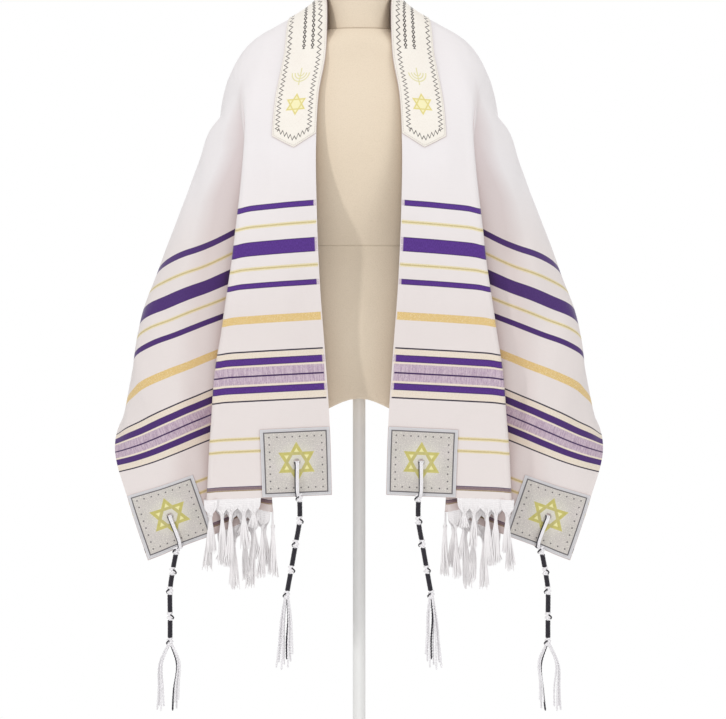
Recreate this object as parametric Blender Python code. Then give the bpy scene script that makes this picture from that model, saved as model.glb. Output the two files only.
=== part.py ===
"""A tallit prayer shawl worn over a limbless dress form that stands on a pole and a round base.

Blender 4.5, metres, +Z up, the front facing -Y, the floor at z = 0. The shawl is one length of cloth
from hem to hem over both shoulders. Its surface is worked out from SECTIONS, a table of widthwise
sections of the left half, and what lies on the cloth is made from the cloth's own points, moved out.
"""

import math
from typing import NamedTuple

import bmesh
import bpy
import numpy as np
from mathutils import Matrix, Vector
from mathutils.bvhtree import BVHTree

MM = 0.001
SEAM_GAP = 0.3 * MM
SEWN_GAP = 0.5 * MM

# The cloth as it was woven
CLOTH_WIDTH = 500 * MM
HALF_LENGTH = 900 * MM
CLOTH_WALL = 1.6 * MM
FOLD_RADIUS = 4.5 * MM
FOLD_LEAD = 9 * MM
CHEST_BULGE = 9 * MM
PLEAT_STARTS = 200 * MM
PLEAT_FULL = 340 * MM
FLUTE_DEPTH = 16 * MM
FLUTE_PITCH = 150 * MM
FLUTE_STARTS = 230 * MM
FLUTE_ENDS_ALONG = 560 * MM
FORM_CLEARANCE = 1.4 * MM
CLEARING_PASSES = 8
DEEPEST_MOVE = 40 * MM

# What is sewn on
BAND_WIDTH = 70 * MM
BAND_HALF = 325 * MM
BAND_TIP_EDGE = 10 * MM
BAND_POINT = 20 * MM
BAND_WALL = 1.2 * MM
PATCH_SIDE = 106 * MM
PATCH_INSET = 1 * MM
PATCH_WALL = 1.0 * MM
EYELET = 9 * MM

# Fringe between the patches
STRIP_HEIGHT = 12 * MM
TASSEL_PITCH = 16 * MM
TASSEL_WIDTH = 3.2 * MM
HEM_STEP_LEAST = 0.4 * MM
STEM_DROP = 5 * MM
STEM_SHARE = 0.9
KNOT_SWELL = 1.5
SWAY = 2 * MM
SWAY_STEP = 2.3
STRAND_INSET = 0.25 * MM
STRANDS_APART = 2.6
STRAND_SHORTER = 0.06
STRAND_FLARE = 1.5

# The form and its stand
FORM_BOTTOM = 831 * MM
ARCH_DROP = 29 * MM
ARCH_HALF = 90 * MM
RIM_DEPTH = 3 * MM
SEAT_SHARE = 0.2
POLE_RADIUS = 10 * MM
BASE_RADIUS = 180 * MM
BASE_HEIGHT = 14 * MM
HUB_RADIUS = 24 * MM
HUB_HEIGHT = 46 * MM
BASE_SIDES = 36
POLE_SIDES = 16


class Section(NamedTuple):
    """One widthwise section of the left half, in millimetres.

    along is the distance from the nape to the section, down the length of the cloth. The rest are
    points from the inner selvedge to the outer one: the front panel's fold, the tuck hidden behind
    it, the outer panel, the side where the cloth turns to the back, the back and the outer selvedge.
    """

    along: float
    inner: tuple
    fold: tuple
    tuck: tuple
    panel: tuple
    side: tuple
    back: tuple
    outer: tuple


SECTIONS = (
    Section(0, (0, 68, 1466), (0, 92, 1368), (0, 106, 1304), (0, 112, 1222), (0, 114, 1132),
            (0, 118, 1050), (0, 122, 968)),
    Section(100, (-57, 8, 1480), (-116, 54, 1392), (-130, 84, 1328), (-132, 104, 1246),
            (-124, 112, 1156), (-110, 118, 1074), (-90, 122, 985)),
    Section(150, (-51, -34, 1455), (-160, 12, 1405), (-184, 38, 1364), (-194, 68, 1296),
            (-186, 88, 1210), (-166, 102, 1119), (-136, 112, 1018)),
    Section(200, (-52, -64, 1380), (-187, -13, 1367), (-206, 3, 1344), (-219, 28, 1296),
            (-216, 56, 1212), (-197, 82, 1116), (-172, 98, 1018)),
    Section(270, (-63, -96, 1308), (-178, -64, 1298), (-189, -54, 1291), (-213, -38, 1277),
            (-238, -6, 1254), (-242, 38, 1142), (-214, 76, 986)),
    Section(350, (-67, -122, 1228), (-180, -98, 1218), (-171, -89, 1206), (-215, -76, 1187),
            (-269, -30, 1157), (-284, 34, 1057), (-250, 66, 930)),
    Section(445, (-66, -136, 1133), (-189, -128, 1122), (-164, -119, 1101), (-225, -112, 1072),
            (-308, -66, 1039), (-324, -8, 1000), (-294, 44, 887)),
    Section(568, (-61, -141, 1010), (-204, -142, 1000), (-156, -133, 976), (-240, -127, 945),
            (-348, -88, 901), (-359, -48, 876), (-352, -8, 832)),
    Section(690, (-52, -143, 888), (-222, -150, 879), (-147, -141, 854), (-248, -134, 815),
            (-326, -116, 781), (-360, -98, 767), (-384, -72, 757)),
    Section(800, (-45, -144, 778), (-231, -153, 770), (-140, -144, 749), (-232, -137, 713),
            (-300, -124, 688), (-332, -116, 678), (-361, -106, 669)),
    Section(900, (-42, -145, 679), (-236, -155, 672), (-134, -146, 653), (-215, -139, 621),
            (-281, -131, 596), (-306, -128, 585), (-329, -125, 576)),
)


class RowStretch(NamedTuple):
    """How finely one stretch of the half-length is divided into sections."""

    starts: float
    ends: float
    steps: int


ROW_STRETCHES = (
    RowStretch(0, 100 * MM, 3),
    RowStretch(100 * MM, 200 * MM, 4),
    RowStretch(200 * MM, BAND_HALF, 4),
    RowStretch(BAND_HALF, HALF_LENGTH, 10),
)

# Steps in each span of a section after the band: up to the fold, round it, the hidden layer, round
# the tuck, the outer panel, the side and the back
SPAN_STEPS = (3, 1, 2, 2, 1, 2, 1, 2, 2, 1, 3, 4, 4, 3)
BAND_STEPS = 4


class Ring(NamedTuple):
    """One level of the form, in millimetres: its height, half width, and front and back depth."""

    height: float
    half_width: float
    front: float
    back: float


TORSO_RINGS = (
    Ring(1414, 56, 50, 60),
    Ring(1405, 68, 56, 66),
    Ring(1392, 97, 62, 73),
    Ring(1376, 128, 66, 80),
    Ring(1360, 154, 70, 86),
    Ring(1340, 171, 78, 91),
    Ring(1312, 178, 90, 96),
    Ring(1270, 177, 104, 99),
    Ring(1205, 168, 115, 98),
    Ring(1135, 148, 108, 89),
    Ring(1068, 130, 92, 82),
    Ring(1000, 145, 97, 92),
    Ring(930, 162, 104, 106),
    Ring(870, 166, 104, 108),
    Ring(831, 163, 100, 104),
)
NECK_RINGS = (
    Ring(1414, 54, 49, 59),
    Ring(1430, 50, 49, 57),
    Ring(1460, 48.5, 49, 56),
    Ring(1488, 49, 50, 56),
    Ring(1497, 47, 48, 54),
    Ring(1500, 42, 43, 49),
)
RING_SIDES = 32
RING_POWER = 2.25


class Tzitzit(NamedTuple):
    """One tzitzit of the left half, in millimetres seen from the front.

    drop is the cord's line below the hem, as (x, z) points from its first knot to its last. strands
    are the lower ends of its strands as (x, z), and bow is how far their middles swing outward.
    """

    name: str
    across: float
    drop: tuple
    strands: tuple
    bow: float


TZITZIT = (
    Tzitzit("inner", 54 * MM, ((-92, 675), (-92, 640), (-98, 604), (-105, 564), (-112, 525)),
            ((-127, 412), (-121, 408), (-115, 416), (-110, 414), (-104, 430)), 2 * MM),
    Tzitzit("outer", 446 * MM, ((-284, 592), (-290, 560), (-294, 530), (-294, 490), (-294, 450)),
            ((-313, 344), (-308, 342), (-303, 348), (-289, 342), (-283, 345)), 9 * MM),
)
KNOT_RADIUS = 5.6
WINDING_RADIUS = 4.4
KNOT_HALF = 4
KNOT_FLAT = 0.6
LOOP_RADIUS = 3.0 * MM
LOOP_CLEARANCE = 0.6 * MM
LOOP_ENDS_APART = 3.3 * MM
STRANDS_BEND_AT = 0.3
CORD_SIDES = 8
LOOP_SIDES = 6
LOOP_TURNS = 6
STRAND_SPREAD = 1.6

COLOURS = {
    "cloth": (0.86, 0.84, 0.86, 1),
    "band": (0.78, 0.72, 0.56, 1),
    "patch": (0.60, 0.57, 0.50, 1),
    "strings": (0.80, 0.79, 0.80, 1),
    "form": (0.62, 0.50, 0.34, 1),
    "stand": (0.80, 0.80, 0.78, 1),
}


def smooth_step(low, high, value):
    """0 below low, 1 above high, and an S-curve between."""
    share = min(max((value - low) / (high - low), 0.0), 1.0)
    return share * share * (3 - 2 * share)


def through_rows(stations, rows, at):
    """The rows interpolated smoothly at one station, with straight continuation past the last."""
    if at >= stations[-1]:
        slope = (rows[-1] - rows[-2]) / (stations[-1] - stations[-2])
        return rows[-1] + slope * (at - stations[-1])
    k = max(int(np.searchsorted(stations, at, side="right")) - 1, 1)
    span = stations[k + 1] - stations[k]

    def slope_at(i):
        if i + 1 >= len(stations):
            return (rows[i] - rows[i - 1]) / (stations[i] - stations[i - 1])
        before = stations[i] - stations[i - 1]
        after = stations[i + 1] - stations[i]
        first = (rows[i] - rows[i - 1]) / before
        second = (rows[i + 1] - rows[i]) / after
        return (first * after + second * before) / (before + after)

    v = (at - stations[k]) / span
    return (
        rows[k] * (2 * v**3 - 3 * v**2 + 1)
        + slope_at(k) * span * (v**3 - 2 * v**2 + v)
        + rows[k + 1] * (3 * v**2 - 2 * v**3)
        + slope_at(k + 1) * span * (v**3 - v**2)
    )


def mirrored(section):
    """The same section on the right half, for the slope at the nape."""
    return Section(-section.along, *[(-x, y, z) for x, y, z in section[1:]])


TABLE = [mirrored(SECTIONS[1]), *SECTIONS]
STATIONS = np.array([section.along for section in TABLE]) * MM
LINES = np.array([section[1:] for section in TABLE]) * MM


def unit(vector):
    """The vector at length 1."""
    return vector / np.linalg.norm(vector)


def section_knots(along):
    """The points that the left half's section at this place runs through, folds included."""
    corners = through_rows(STATIONS, LINES, along)
    hidden = np.linalg.norm(corners[2] - corners[1])
    r = min(FOLD_RADIUS, 0.3 * hidden)
    lead = min(FOLD_LEAD, 0.5 * (hidden - 2 * r))
    folded = smooth_step(PLEAT_STARTS, PLEAT_FULL, along)
    return (1 - folded) * flat_knots(corners, r, lead) + folded * pleated_knots(corners, r, lead)


def flat_knots(corners, r, lead):
    """The knots where the cloth has no pleat: all of them on one smooth curve."""
    line = spline_through(corners, [FINE_STEPS] * (len(corners) - 1))
    lengths = running_length(line)
    inner, fold, tuck, *rest = lengths[::FINE_STEPS]
    places = [
        inner,
        fold / 2,
        fold - r - FOLD_LEAD,
        fold - r,
        fold,
        fold + r,
        fold + r + lead,
        tuck - r - lead,
        tuck - r,
        tuck,
        tuck + r,
        tuck + r + FOLD_LEAD,
        *rest,
    ]
    return np.array([at_length(line, lengths, place) for place in places])


def pleated_knots(corners, r, lead):
    """The knots where the front panel lies in a pleat over the outer one."""
    inner, fold, tuck, panel, side, back, outer = corners
    chest = (inner + fold) / 2 + np.array([0, -CHEST_BULGE, 0])
    fold_in = fold + np.array([r, -r, 0])
    fold_out = fold + np.array([r, r, 0])
    tuck_in = tuck + np.array([-r, -r, 0])
    tuck_out = tuck + np.array([-r, r, 0])
    return np.array([
        inner,
        chest,
        fold_in + unit(chest - fold_in) * FOLD_LEAD,
        fold_in,
        fold,
        fold_out,
        fold_out + unit(tuck_in - fold_out) * lead,
        tuck_in + unit(fold_out - tuck_in) * lead,
        tuck_in,
        tuck,
        tuck_out,
        tuck_out + unit(panel - tuck_out) * FOLD_LEAD,
        panel,
        side,
        back,
        outer,
    ])


def spline_through(knots, steps):
    """A centripetal Catmull-Rom curve through the knots, with so many steps in each span."""
    ends = [2 * knots[0] - knots[1], *knots, 2 * knots[-1] - knots[-2]]
    points = [knots[0]]
    for k, count in enumerate(steps):
        p0, p1, p2, p3 = ends[k : k + 4]
        t1 = np.linalg.norm(p1 - p0) ** 0.5
        t2 = t1 + np.linalg.norm(p2 - p1) ** 0.5
        t3 = t2 + np.linalg.norm(p3 - p2) ** 0.5
        for step in range(1, count + 1):
            t = t1 + (t2 - t1) * step / count
            a = p0 * (t1 - t) / t1 + p1 * t / t1
            b = p1 * (t2 - t) / (t2 - t1) + p2 * (t - t1) / (t2 - t1)
            c = p2 * (t3 - t) / (t3 - t2) + p3 * (t - t2) / (t3 - t2)
            d = a * (t2 - t) / t2 + b * t / t2
            e = b * (t3 - t) / (t3 - t1) + c * (t - t1) / (t3 - t1)
            points.append(d * (t2 - t) / (t2 - t1) + e * (t - t1) / (t2 - t1))
    return np.array(points)


def running_length(points):
    """The distance along the points, from 0 at the first."""
    return np.concatenate([[0], np.cumsum(np.linalg.norm(np.diff(points, axis=0), axis=1))])


def at_length(points, lengths, wanted):
    """The point at this distance along the points."""
    return np.array([np.interp(wanted, lengths, points[:, axis]) for axis in range(3)])


FINE_STEPS = 12
KNOTS_TO_FOLD = 2


def section_points(along):
    """One section of the left half: even steps across the band, then steps span by span."""
    knots = section_knots(along)
    fine = spline_through(knots, [FINE_STEPS] * (len(knots) - 1))
    lengths = running_length(fine)
    lead = KNOTS_TO_FOLD * FINE_STEPS
    stops = list(np.linspace(0, BAND_WIDTH, BAND_STEPS + 1))
    stops += list(np.linspace(BAND_WIDTH, lengths[lead], SPAN_STEPS[0] + 1)[1:])
    for k, count in enumerate(SPAN_STEPS[1:]):
        first = lead + k * FINE_STEPS
        stops += list(np.linspace(lengths[first], lengths[first + FINE_STEPS], count + 1)[1:])
    return np.array([at_length(fine, lengths, stop) for stop in stops])


def fluted(points, along):
    """The section with the back's soft flutes, deepest at the outer selvedge."""
    lengths = running_length(points)
    fade = 1 - smooth_step(0.5 * FLUTE_ENDS_ALONG, FLUTE_ENDS_ALONG, along)
    wave = 0.5 - 0.5 * math.cos(2 * math.pi * along / FLUTE_PITCH)
    moved = points.copy()
    for i, length in enumerate(lengths):
        depth = FLUTE_DEPTH * fade * wave * smooth_step(FLUTE_STARTS, CLOTH_WIDTH, length)
        side = unit(np.array([points[i][0] * 0.6, 0.14, 0]))
        moved[i] = points[i] + side * depth
    return moved


def row_stations():
    """Where the cloth's rows of points lie along the half-length."""
    stations = [0.0]
    for stretch in ROW_STRETCHES:
        for step in range(1, stretch.steps + 1):
            stations.append(stretch.starts + (stretch.ends - stretch.starts) * step / stretch.steps)
    return stations


class Cloth:
    """The cloth's middle surface as rows of points, with places found by length."""

    def __init__(self, form):
        half = row_stations()
        left = np.array([fluted(section_points(a), a) for a in half])
        flip = np.array([-1, 1, 1])
        self.stations = np.array([-a for a in half[:0:-1]] + half)
        self.points = np.concatenate([left[:0:-1] * flip, left])
        for _ in range(CLEARING_PASSES):
            self.clear_of(form)
        self.normals = surface_normals(self.points)
        self.across = np.array([self.shares(row) for row in self.points])

    def clear_of(self, form):
        """Moves the cloth out wherever a corner, an edge or a cell's middle is too near the form."""
        rows, columns = self.points.shape[:2]
        moves = np.zeros_like(self.points)
        for i in range(rows - 1):
            for j in range(columns - 1):
                corners = [(i, j), (i, j + 1), (i + 1, j), (i + 1, j + 1)]
                for pair in ([0], [0, 1], [0, 2], [1, 2], [0, 3], [0, 1, 2, 3]):
                    members = [corners[k] for k in pair]
                    place = Vector(sum(self.points[m] for m in members) / len(members))
                    near, normal, _, _ = form.find_nearest(place)
                    short = FORM_CLEARANCE - (place - near).dot(normal)
                    if short <= 0 or (place - near).length > DEEPEST_MOVE:
                        continue
                    for member in members:
                        if np.linalg.norm(moves[member]) < short:
                            moves[member] = np.array(normal) * short
        self.points = self.points + moves

    @staticmethod
    def shares(row):
        """The distance of each point from the inner selvedge, on the cloth as woven."""
        lengths = running_length(row)
        beyond = max(lengths[-1] - BAND_WIDTH, MM)
        scale = (CLOTH_WIDTH - BAND_WIDTH) / beyond
        return np.where(lengths < BAND_WIDTH, lengths, BAND_WIDTH + (lengths - BAND_WIDTH) * scale)

    def at(self, along, across):
        """The point and the blended outward normal at this place, on the wall's own triangles."""
        i = int(np.clip(np.searchsorted(self.stations, along) - 1, 0, len(self.stations) - 2))
        down = (along - self.stations[i]) / (self.stations[i + 1] - self.stations[i])
        between = self.across[i] * (1 - down) + self.across[i + 1] * down
        j = int(np.clip(np.searchsorted(between, across) - 1, 0, len(between) - 2))
        a, b, c, d = (i, j), (i, j + 1), (i + 1, j + 1), (i + 1, j)
        lengths = self.across
        if across >= lengths[a] + down * (lengths[c] - lengths[a]):
            first = lengths[a] + down * (lengths[c] - lengths[b])
            out = (across - first) / (lengths[b] - lengths[a])
            weights = {a: 1 - out, b: out - down, c: down}
        else:
            first = lengths[a] + down * (lengths[d] - lengths[a])
            out = (across - first) / (lengths[c] - lengths[d])
            weights = {a: 1 - down, c: out, d: down - out}
        point = sum(self.points[corner] * weight for corner, weight in weights.items())
        return point, sum(self.normals[corner] * weight for corner, weight in weights.items())


def surface_normals(points):
    """The outward normals of a grid of points: rows run along the cloth, columns across it."""
    down = np.gradient(points, axis=0)
    out = np.gradient(points, axis=1)
    normals = np.cross(out, down)
    return normals / np.linalg.norm(normals, axis=2, keepdims=True)


def material(name, roughness=0.85, metallic=0.0):
    """A plain Principled material in one of the named colours."""
    made = bpy.data.materials.get(name)
    if made is None:
        made = bpy.data.materials.new(name)
        made.use_nodes = True
        shader = made.node_tree.nodes["Principled BSDF"]
        shader.inputs["Base Color"].default_value = COLOURS[name]
        shader.inputs["Roughness"].default_value = roughness
        shader.inputs["Metallic"].default_value = metallic
    return made


def new_object(name, bm, finish):
    """One object from a bmesh, smooth shaded, with its material."""
    bmesh.ops.recalc_face_normals(bm, faces=bm.faces)
    mesh = bpy.data.meshes.new(name)
    bm.to_mesh(mesh)
    bm.free()
    mesh.shade_smooth()
    mesh.set_sharp_from_angle(angle=math.radians(40))
    obj = bpy.data.objects.new(name, mesh)
    obj.data.materials.append(material(finish))
    bpy.context.scene.collection.objects.link(obj)
    return obj


def wall(points, normals, inner, outer, hole=None):
    """A closed wall over a grid of points, between two distances from it, with one cell left out."""
    bm = bmesh.new()
    rows, columns = points.shape[:2]
    sides = []
    for offset in (inner, outer):
        sides.append([
            [bm.verts.new(points[i][j] + normals[i][j] * offset) for j in range(columns)]
            for i in range(rows)
        ])
    below, above = sides
    cells = [(i, j) for i in range(rows - 1) for j in range(columns - 1) if (i, j) != hole]

    def corners(side, i, j):
        return [side[i][j], side[i][j + 1], side[i + 1][j + 1], side[i + 1][j]]

    for i, j in cells:
        for surface in (above, below):
            a, b, c, d = corners(surface, i, j)
            bm.faces.new([a, b, c])
            bm.faces.new([a, c, d])
    present = set(cells)
    for i, j in cells:
        ring = [(i, j), (i, j + 1), (i + 1, j + 1), (i + 1, j)]
        beyond = [(i - 1, j), (i, j + 1), (i + 1, j), (i, j - 1)]
        for edge, cell in enumerate(beyond):
            if cell not in present:
                (a, b), (c, d) = ring[edge], ring[(edge + 1) % 4]
                bm.faces.new([above[a][b], below[a][b], below[c][d], above[c][d]])
    bmesh.ops.recalc_face_normals(bm, faces=bm.faces)
    return bm


def ring_points(ring, sides=RING_SIDES):
    """The outline of the form at one level, a rounded oval with its own front and back depth."""
    points = []
    for k in range(sides):
        turn = 2 * math.pi * k / sides
        c, s = math.cos(turn), math.sin(turn)
        x = math.copysign(abs(c) ** (2 / RING_POWER), c) * ring.half_width * MM
        depth = ring.back if s > 0 else ring.front
        y = math.copysign(abs(s) ** (2 / RING_POWER), s) * depth * MM
        points.append(Vector((x, y, ring.height * MM)))
    return points


def lofted(loops):
    """A closed solid through loops of equal count, with flat caps."""
    bm = bmesh.new()
    rings = [[bm.verts.new(point) for point in loop] for loop in loops]
    for upper, lower in zip(rings, rings[1:]):
        for k in range(len(upper)):
            after = (k + 1) % len(upper)
            bm.faces.new([upper[k], upper[after], lower[after], lower[k]])
    bm.faces.new(rings[0])
    bm.faces.new(rings[-1][::-1])
    bmesh.ops.recalc_face_normals(bm, faces=bm.faces)
    return bm


def arch_drop(x):
    """How much lower the form's rim lies at this distance from its centre."""
    return ARCH_DROP * math.sin(math.pi / 2 * min(abs(x) / ARCH_HALF, 1)) ** 2


def torso_mesh():
    """The covered torso: rounded rings down to a rim that arches up at its centre."""
    loops = [ring_points(ring) for ring in TORSO_RINGS]
    for share, loop in zip((0.12, 0.5, 1.0), loops[-3:]):
        for point in loop:
            point.z -= share * arch_drop(point.x)
    rim = loops[-1]
    for shrink in (0.97, 0.6):
        inner = [Vector((p.x * shrink, p.y * shrink, FORM_BOTTOM - RIM_DEPTH)) for p in rim]
        for point in inner:
            point.z -= arch_drop(point.x)
        loops.append(inner)
    loops.append([Vector((p.x * SEAT_SHARE, p.y * SEAT_SHARE, FORM_BOTTOM - RIM_DEPTH)) for p in rim])
    return lofted(loops)


def neck_mesh():
    """The neck, seated on the torso's seam, with a plain rounded cap."""
    loops = [ring_points(ring) for ring in reversed(NECK_RINGS)]
    for point in loops[-1]:
        point.z += SEAM_GAP
    return lofted(loops)


def turned(profile, sides):
    """A solid turned about the Z axis, from (radius, height) points."""
    turns = [2 * math.pi * k / sides for k in range(sides)]
    loops = []
    for radius, height in reversed(profile):
        loops.append([Vector((radius * math.cos(turn), radius * math.sin(turn), height)) for turn in turns])
    return lofted(loops)


def stand():
    """The pole up to the form and the round base with its hub."""
    hub_top = BASE_HEIGHT + HUB_HEIGHT
    base = turned(
        (
            (BASE_RADIUS - 2 * MM, 0),
            (BASE_RADIUS, 2 * MM),
            (BASE_RADIUS, BASE_HEIGHT - 5 * MM),
            (BASE_RADIUS - 6 * MM, BASE_HEIGHT),
            (HUB_RADIUS + 8 * MM, BASE_HEIGHT + 1 * MM),
            (HUB_RADIUS, BASE_HEIGHT + 7 * MM),
            (HUB_RADIUS - 3 * MM, hub_top - 3 * MM),
            (HUB_RADIUS - 6 * MM, hub_top),
        ),
        BASE_SIDES,
    )
    new_object("stand_base", base, "stand")
    pole_top = FORM_BOTTOM - RIM_DEPTH - SEAM_GAP
    pole = turned(((POLE_RADIUS, hub_top + SEAM_GAP), (POLE_RADIUS, pole_top)), POLE_SIDES)
    new_object("stand_pole", pole, "stand")


def neckband(cloth):
    """The strip along the neck edge, on the cloth's own points, with a pointed end on each side."""
    rows = [i for i, station in enumerate(cloth.stations) if abs(station) <= BAND_HALF + 1e-6]
    columns = slice(0, BAND_STEPS + 1)
    points = [cloth.points[i][columns] for i in rows]
    normals = [cloth.normals[i][columns] for i in rows]
    for side, place in ((1, len(points)), (-1, 0)):
        tip = []
        for k in range(BAND_STEPS + 1):
            across = BAND_WIDTH * k / BAND_STEPS
            reach = BAND_TIP_EDGE + BAND_POINT * (1 - abs(2 * across / BAND_WIDTH - 1))
            tip.append(cloth.at(side * (BAND_HALF + reach), across))
        points.insert(place, np.array([point for point, _ in tip]))
        normals.insert(place, np.array([normal for _, normal in tip]))
    lift = CLOTH_WALL / 2 + SEWN_GAP
    bm = wall(np.array(points), np.array(normals), lift, lift + BAND_WALL)
    new_object("neckband", bm, "band")


def patch_lines():
    """The patch's grid lines: even, but for the eyelet's own cell in the middle."""
    low, high = (PATCH_SIDE - EYELET) / 2, (PATCH_SIDE + EYELET) / 2
    return [0, low / 3, 2 * low / 3, low, high, high + low / 3, high + 2 * low / 3, PATCH_SIDE]


EYELET_CELL = (3, 3)


def corner_patch(cloth, name, side, first):
    """One square patch at a corner of the cloth, with its eyelet left open."""
    lines = patch_lines()
    last = HALF_LENGTH - PATCH_INSET
    grid = [[cloth.at(side * (last - a), first + b) for b in lines] for a in lines]
    points = np.array([[place for place, _ in row] for row in grid])
    normals = np.array([[normal for _, normal in row] for row in grid])
    lift = CLOTH_WALL / 2 + SEWN_GAP
    new_object(name, wall(points, normals, lift, lift + PATCH_WALL, EYELET_CELL), "patch")


def eyelet_cutter(cloth, side, across):
    """A short square prism through the cloth at a patch's centre."""
    along = HALF_LENGTH - PATCH_INSET - PATCH_SIDE / 2
    place, normal = cloth.at(side * along, across)
    bm = bmesh.new()
    bmesh.ops.create_cube(bm, size=EYELET)
    turn = Vector(normal).to_track_quat("Z", "Y").to_matrix().to_4x4()
    bmesh.ops.transform(bm, matrix=Matrix.Translation(Vector(place)) @ turn, verts=bm.verts)
    cutter = new_object("eyelet_cutter", bm, "cloth")
    cutter.hide_render = True
    cutter.display_type = "WIRE"
    return cutter


def joined(target, other, how):
    """A Boolean on the target, with the other object kept as its guide."""
    other.hide_render = True
    other.display_type = "WIRE"
    boolean = target.modifiers.new(other.name, "BOOLEAN")
    boolean.operation = how
    boolean.object = other
    boolean.solver = "EXACT"


def tube(path, radii, axis, sides=CORD_SIDES):
    """A closed solid along a path that lies in one plane, whose normal is the axis."""
    loops = []
    for k, point in enumerate(path):
        ahead = path[min(k + 1, len(path) - 1)] - path[max(k - 1, 0)]
        across = ahead.cross(axis).normalized()
        turns = [2 * math.pi * j / sides for j in range(sides)]
        loops.append([
            point + (across * math.cos(turn) + axis * math.sin(turn)) * radii[k] for turn in turns
        ])
    return lofted(loops)


def grown_strand(bm, face, centres, scale):
    """Extends a face into a strand through the centres, changing its width by scale at each."""
    for centre in centres:
        face = bmesh.ops.extrude_discrete_faces(bm, faces=[face])["faces"][0]
        middle = face.calc_center_median()
        for vert in face.verts:
            vert.co = centre + (vert.co - middle) * scale
    return face


def knotted_path(drop, depth):
    """Points and radii down a tzitzit's cord: knots with a wound stretch between each pair."""
    knots = np.array([(x * MM, depth, z * MM) for x, z in drop])
    line = spline_through(knots, [FINE_STEPS] * (len(knots) - 1))
    lengths = running_length(line)
    half = KNOT_HALF * MM
    path, radii = [], []

    def add(length, radius):
        path.append(Vector(at_length(line, lengths, length)))
        radii.append(radius * MM)

    for place in lengths[::FINE_STEPS]:
        middle = min(max(place, half), lengths[-1] - half)
        add(middle - half, WINDING_RADIUS)
        add(middle - KNOT_FLAT * half, KNOT_RADIUS)
        add(middle + KNOT_FLAT * half, KNOT_RADIUS)
        add(middle + half, WINDING_RADIUS)
    return path, radii


def loop_path(eye, normal, hem, knot):
    """The loop's line from the knot up the front, through the eyelet and down the back."""
    front = CLOTH_WALL / 2 + SEWN_GAP + PATCH_WALL + LOOP_CLEARANCE + LOOP_RADIUS
    rear = CLOTH_WALL / 2 + LOOP_CLEARANCE + LOOP_RADIUS
    bend = (front + rear) / 2
    down = (hem - eye).normalized()
    centre = eye + down * bend + normal * (front - rear) / 2
    turns = [math.pi * k / LOOP_TURNS for k in range(LOOP_TURNS + 1)]
    arc = [centre + (normal * math.cos(turn) - down * math.sin(turn)) * bend for turn in turns]
    return [
        knot + normal * LOOP_ENDS_APART,
        hem + normal * front,
        *arc,
        hem - normal * rear,
        knot - normal * LOOP_ENDS_APART,
    ]


def tzitzit(cloth, plan, side):
    """One tzitzit: the loop through the eyelet, the knotted cord and its loose strands."""
    name = f"tzitzit_{plan.name}_{'left' if side > 0 else 'right'}"
    along = HALF_LENGTH - PATCH_INSET - PATCH_SIDE / 2
    eye, normal = (Vector(v) for v in cloth.at(along, plan.across))
    hem = Vector(cloth.at(HALF_LENGTH, plan.across)[0])
    path, radii = knotted_path(plan.drop, hem.y)
    bm = tube(path, radii, Vector((0, 1, 0)))
    bottom = min(bm.faces, key=lambda face: face.calc_center_median().z)
    roots = bmesh.ops.poke(bm, faces=[bottom])["faces"]
    bmesh.ops.inset_individual(bm, faces=roots, thickness=STRAND_INSET)
    roots.sort(key=lambda face: face.calc_center_median().x)
    last = len(plan.strands) - 1
    for k, root in enumerate(roots):
        share = k / (len(roots) - 1) * last
        x = np.interp(share, range(last + 1), [end[0] for end in plan.strands]) * MM
        z = plan.strands[round(share)][1] * MM
        start = root.calc_center_median()
        end = Vector((x, hem.y + (start.y - hem.y) * STRAND_SPREAD, z))
        swing = math.copysign(plan.bow, x - path[-1].x)
        bend = start.lerp(end, STRANDS_BEND_AT) + Vector((swing, 0, 0))
        grown_strand(bm, root, [bend, end], 1.0)
    route = loop_path(eye, normal, hem, path[1])
    axis = (hem - eye).cross(normal).normalized()
    loop = tube(route, [LOOP_RADIUS] * len(route), axis, LOOP_SIDES)
    for mesh in (bm, loop):
        if side < 0:
            bmesh.ops.scale(mesh, vec=(-1, 1, 1), verts=mesh.verts)
    cord = new_object(name, bm, "strings")
    joined(cord, new_object(f"{name}_loop", loop, "strings"), "UNION")


class Fringe(NamedTuple):
    """The fringe between the patches: where it starts and ends across the cloth."""

    starts: float
    ends: float


FRINGE = Fringe(PATCH_SIDE + 6 * MM, CLOTH_WIDTH - PATCH_SIDE - 6 * MM)
TASSEL_DROPS = (30, 62, 88, 84, 66, 92, 74, 80)


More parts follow.
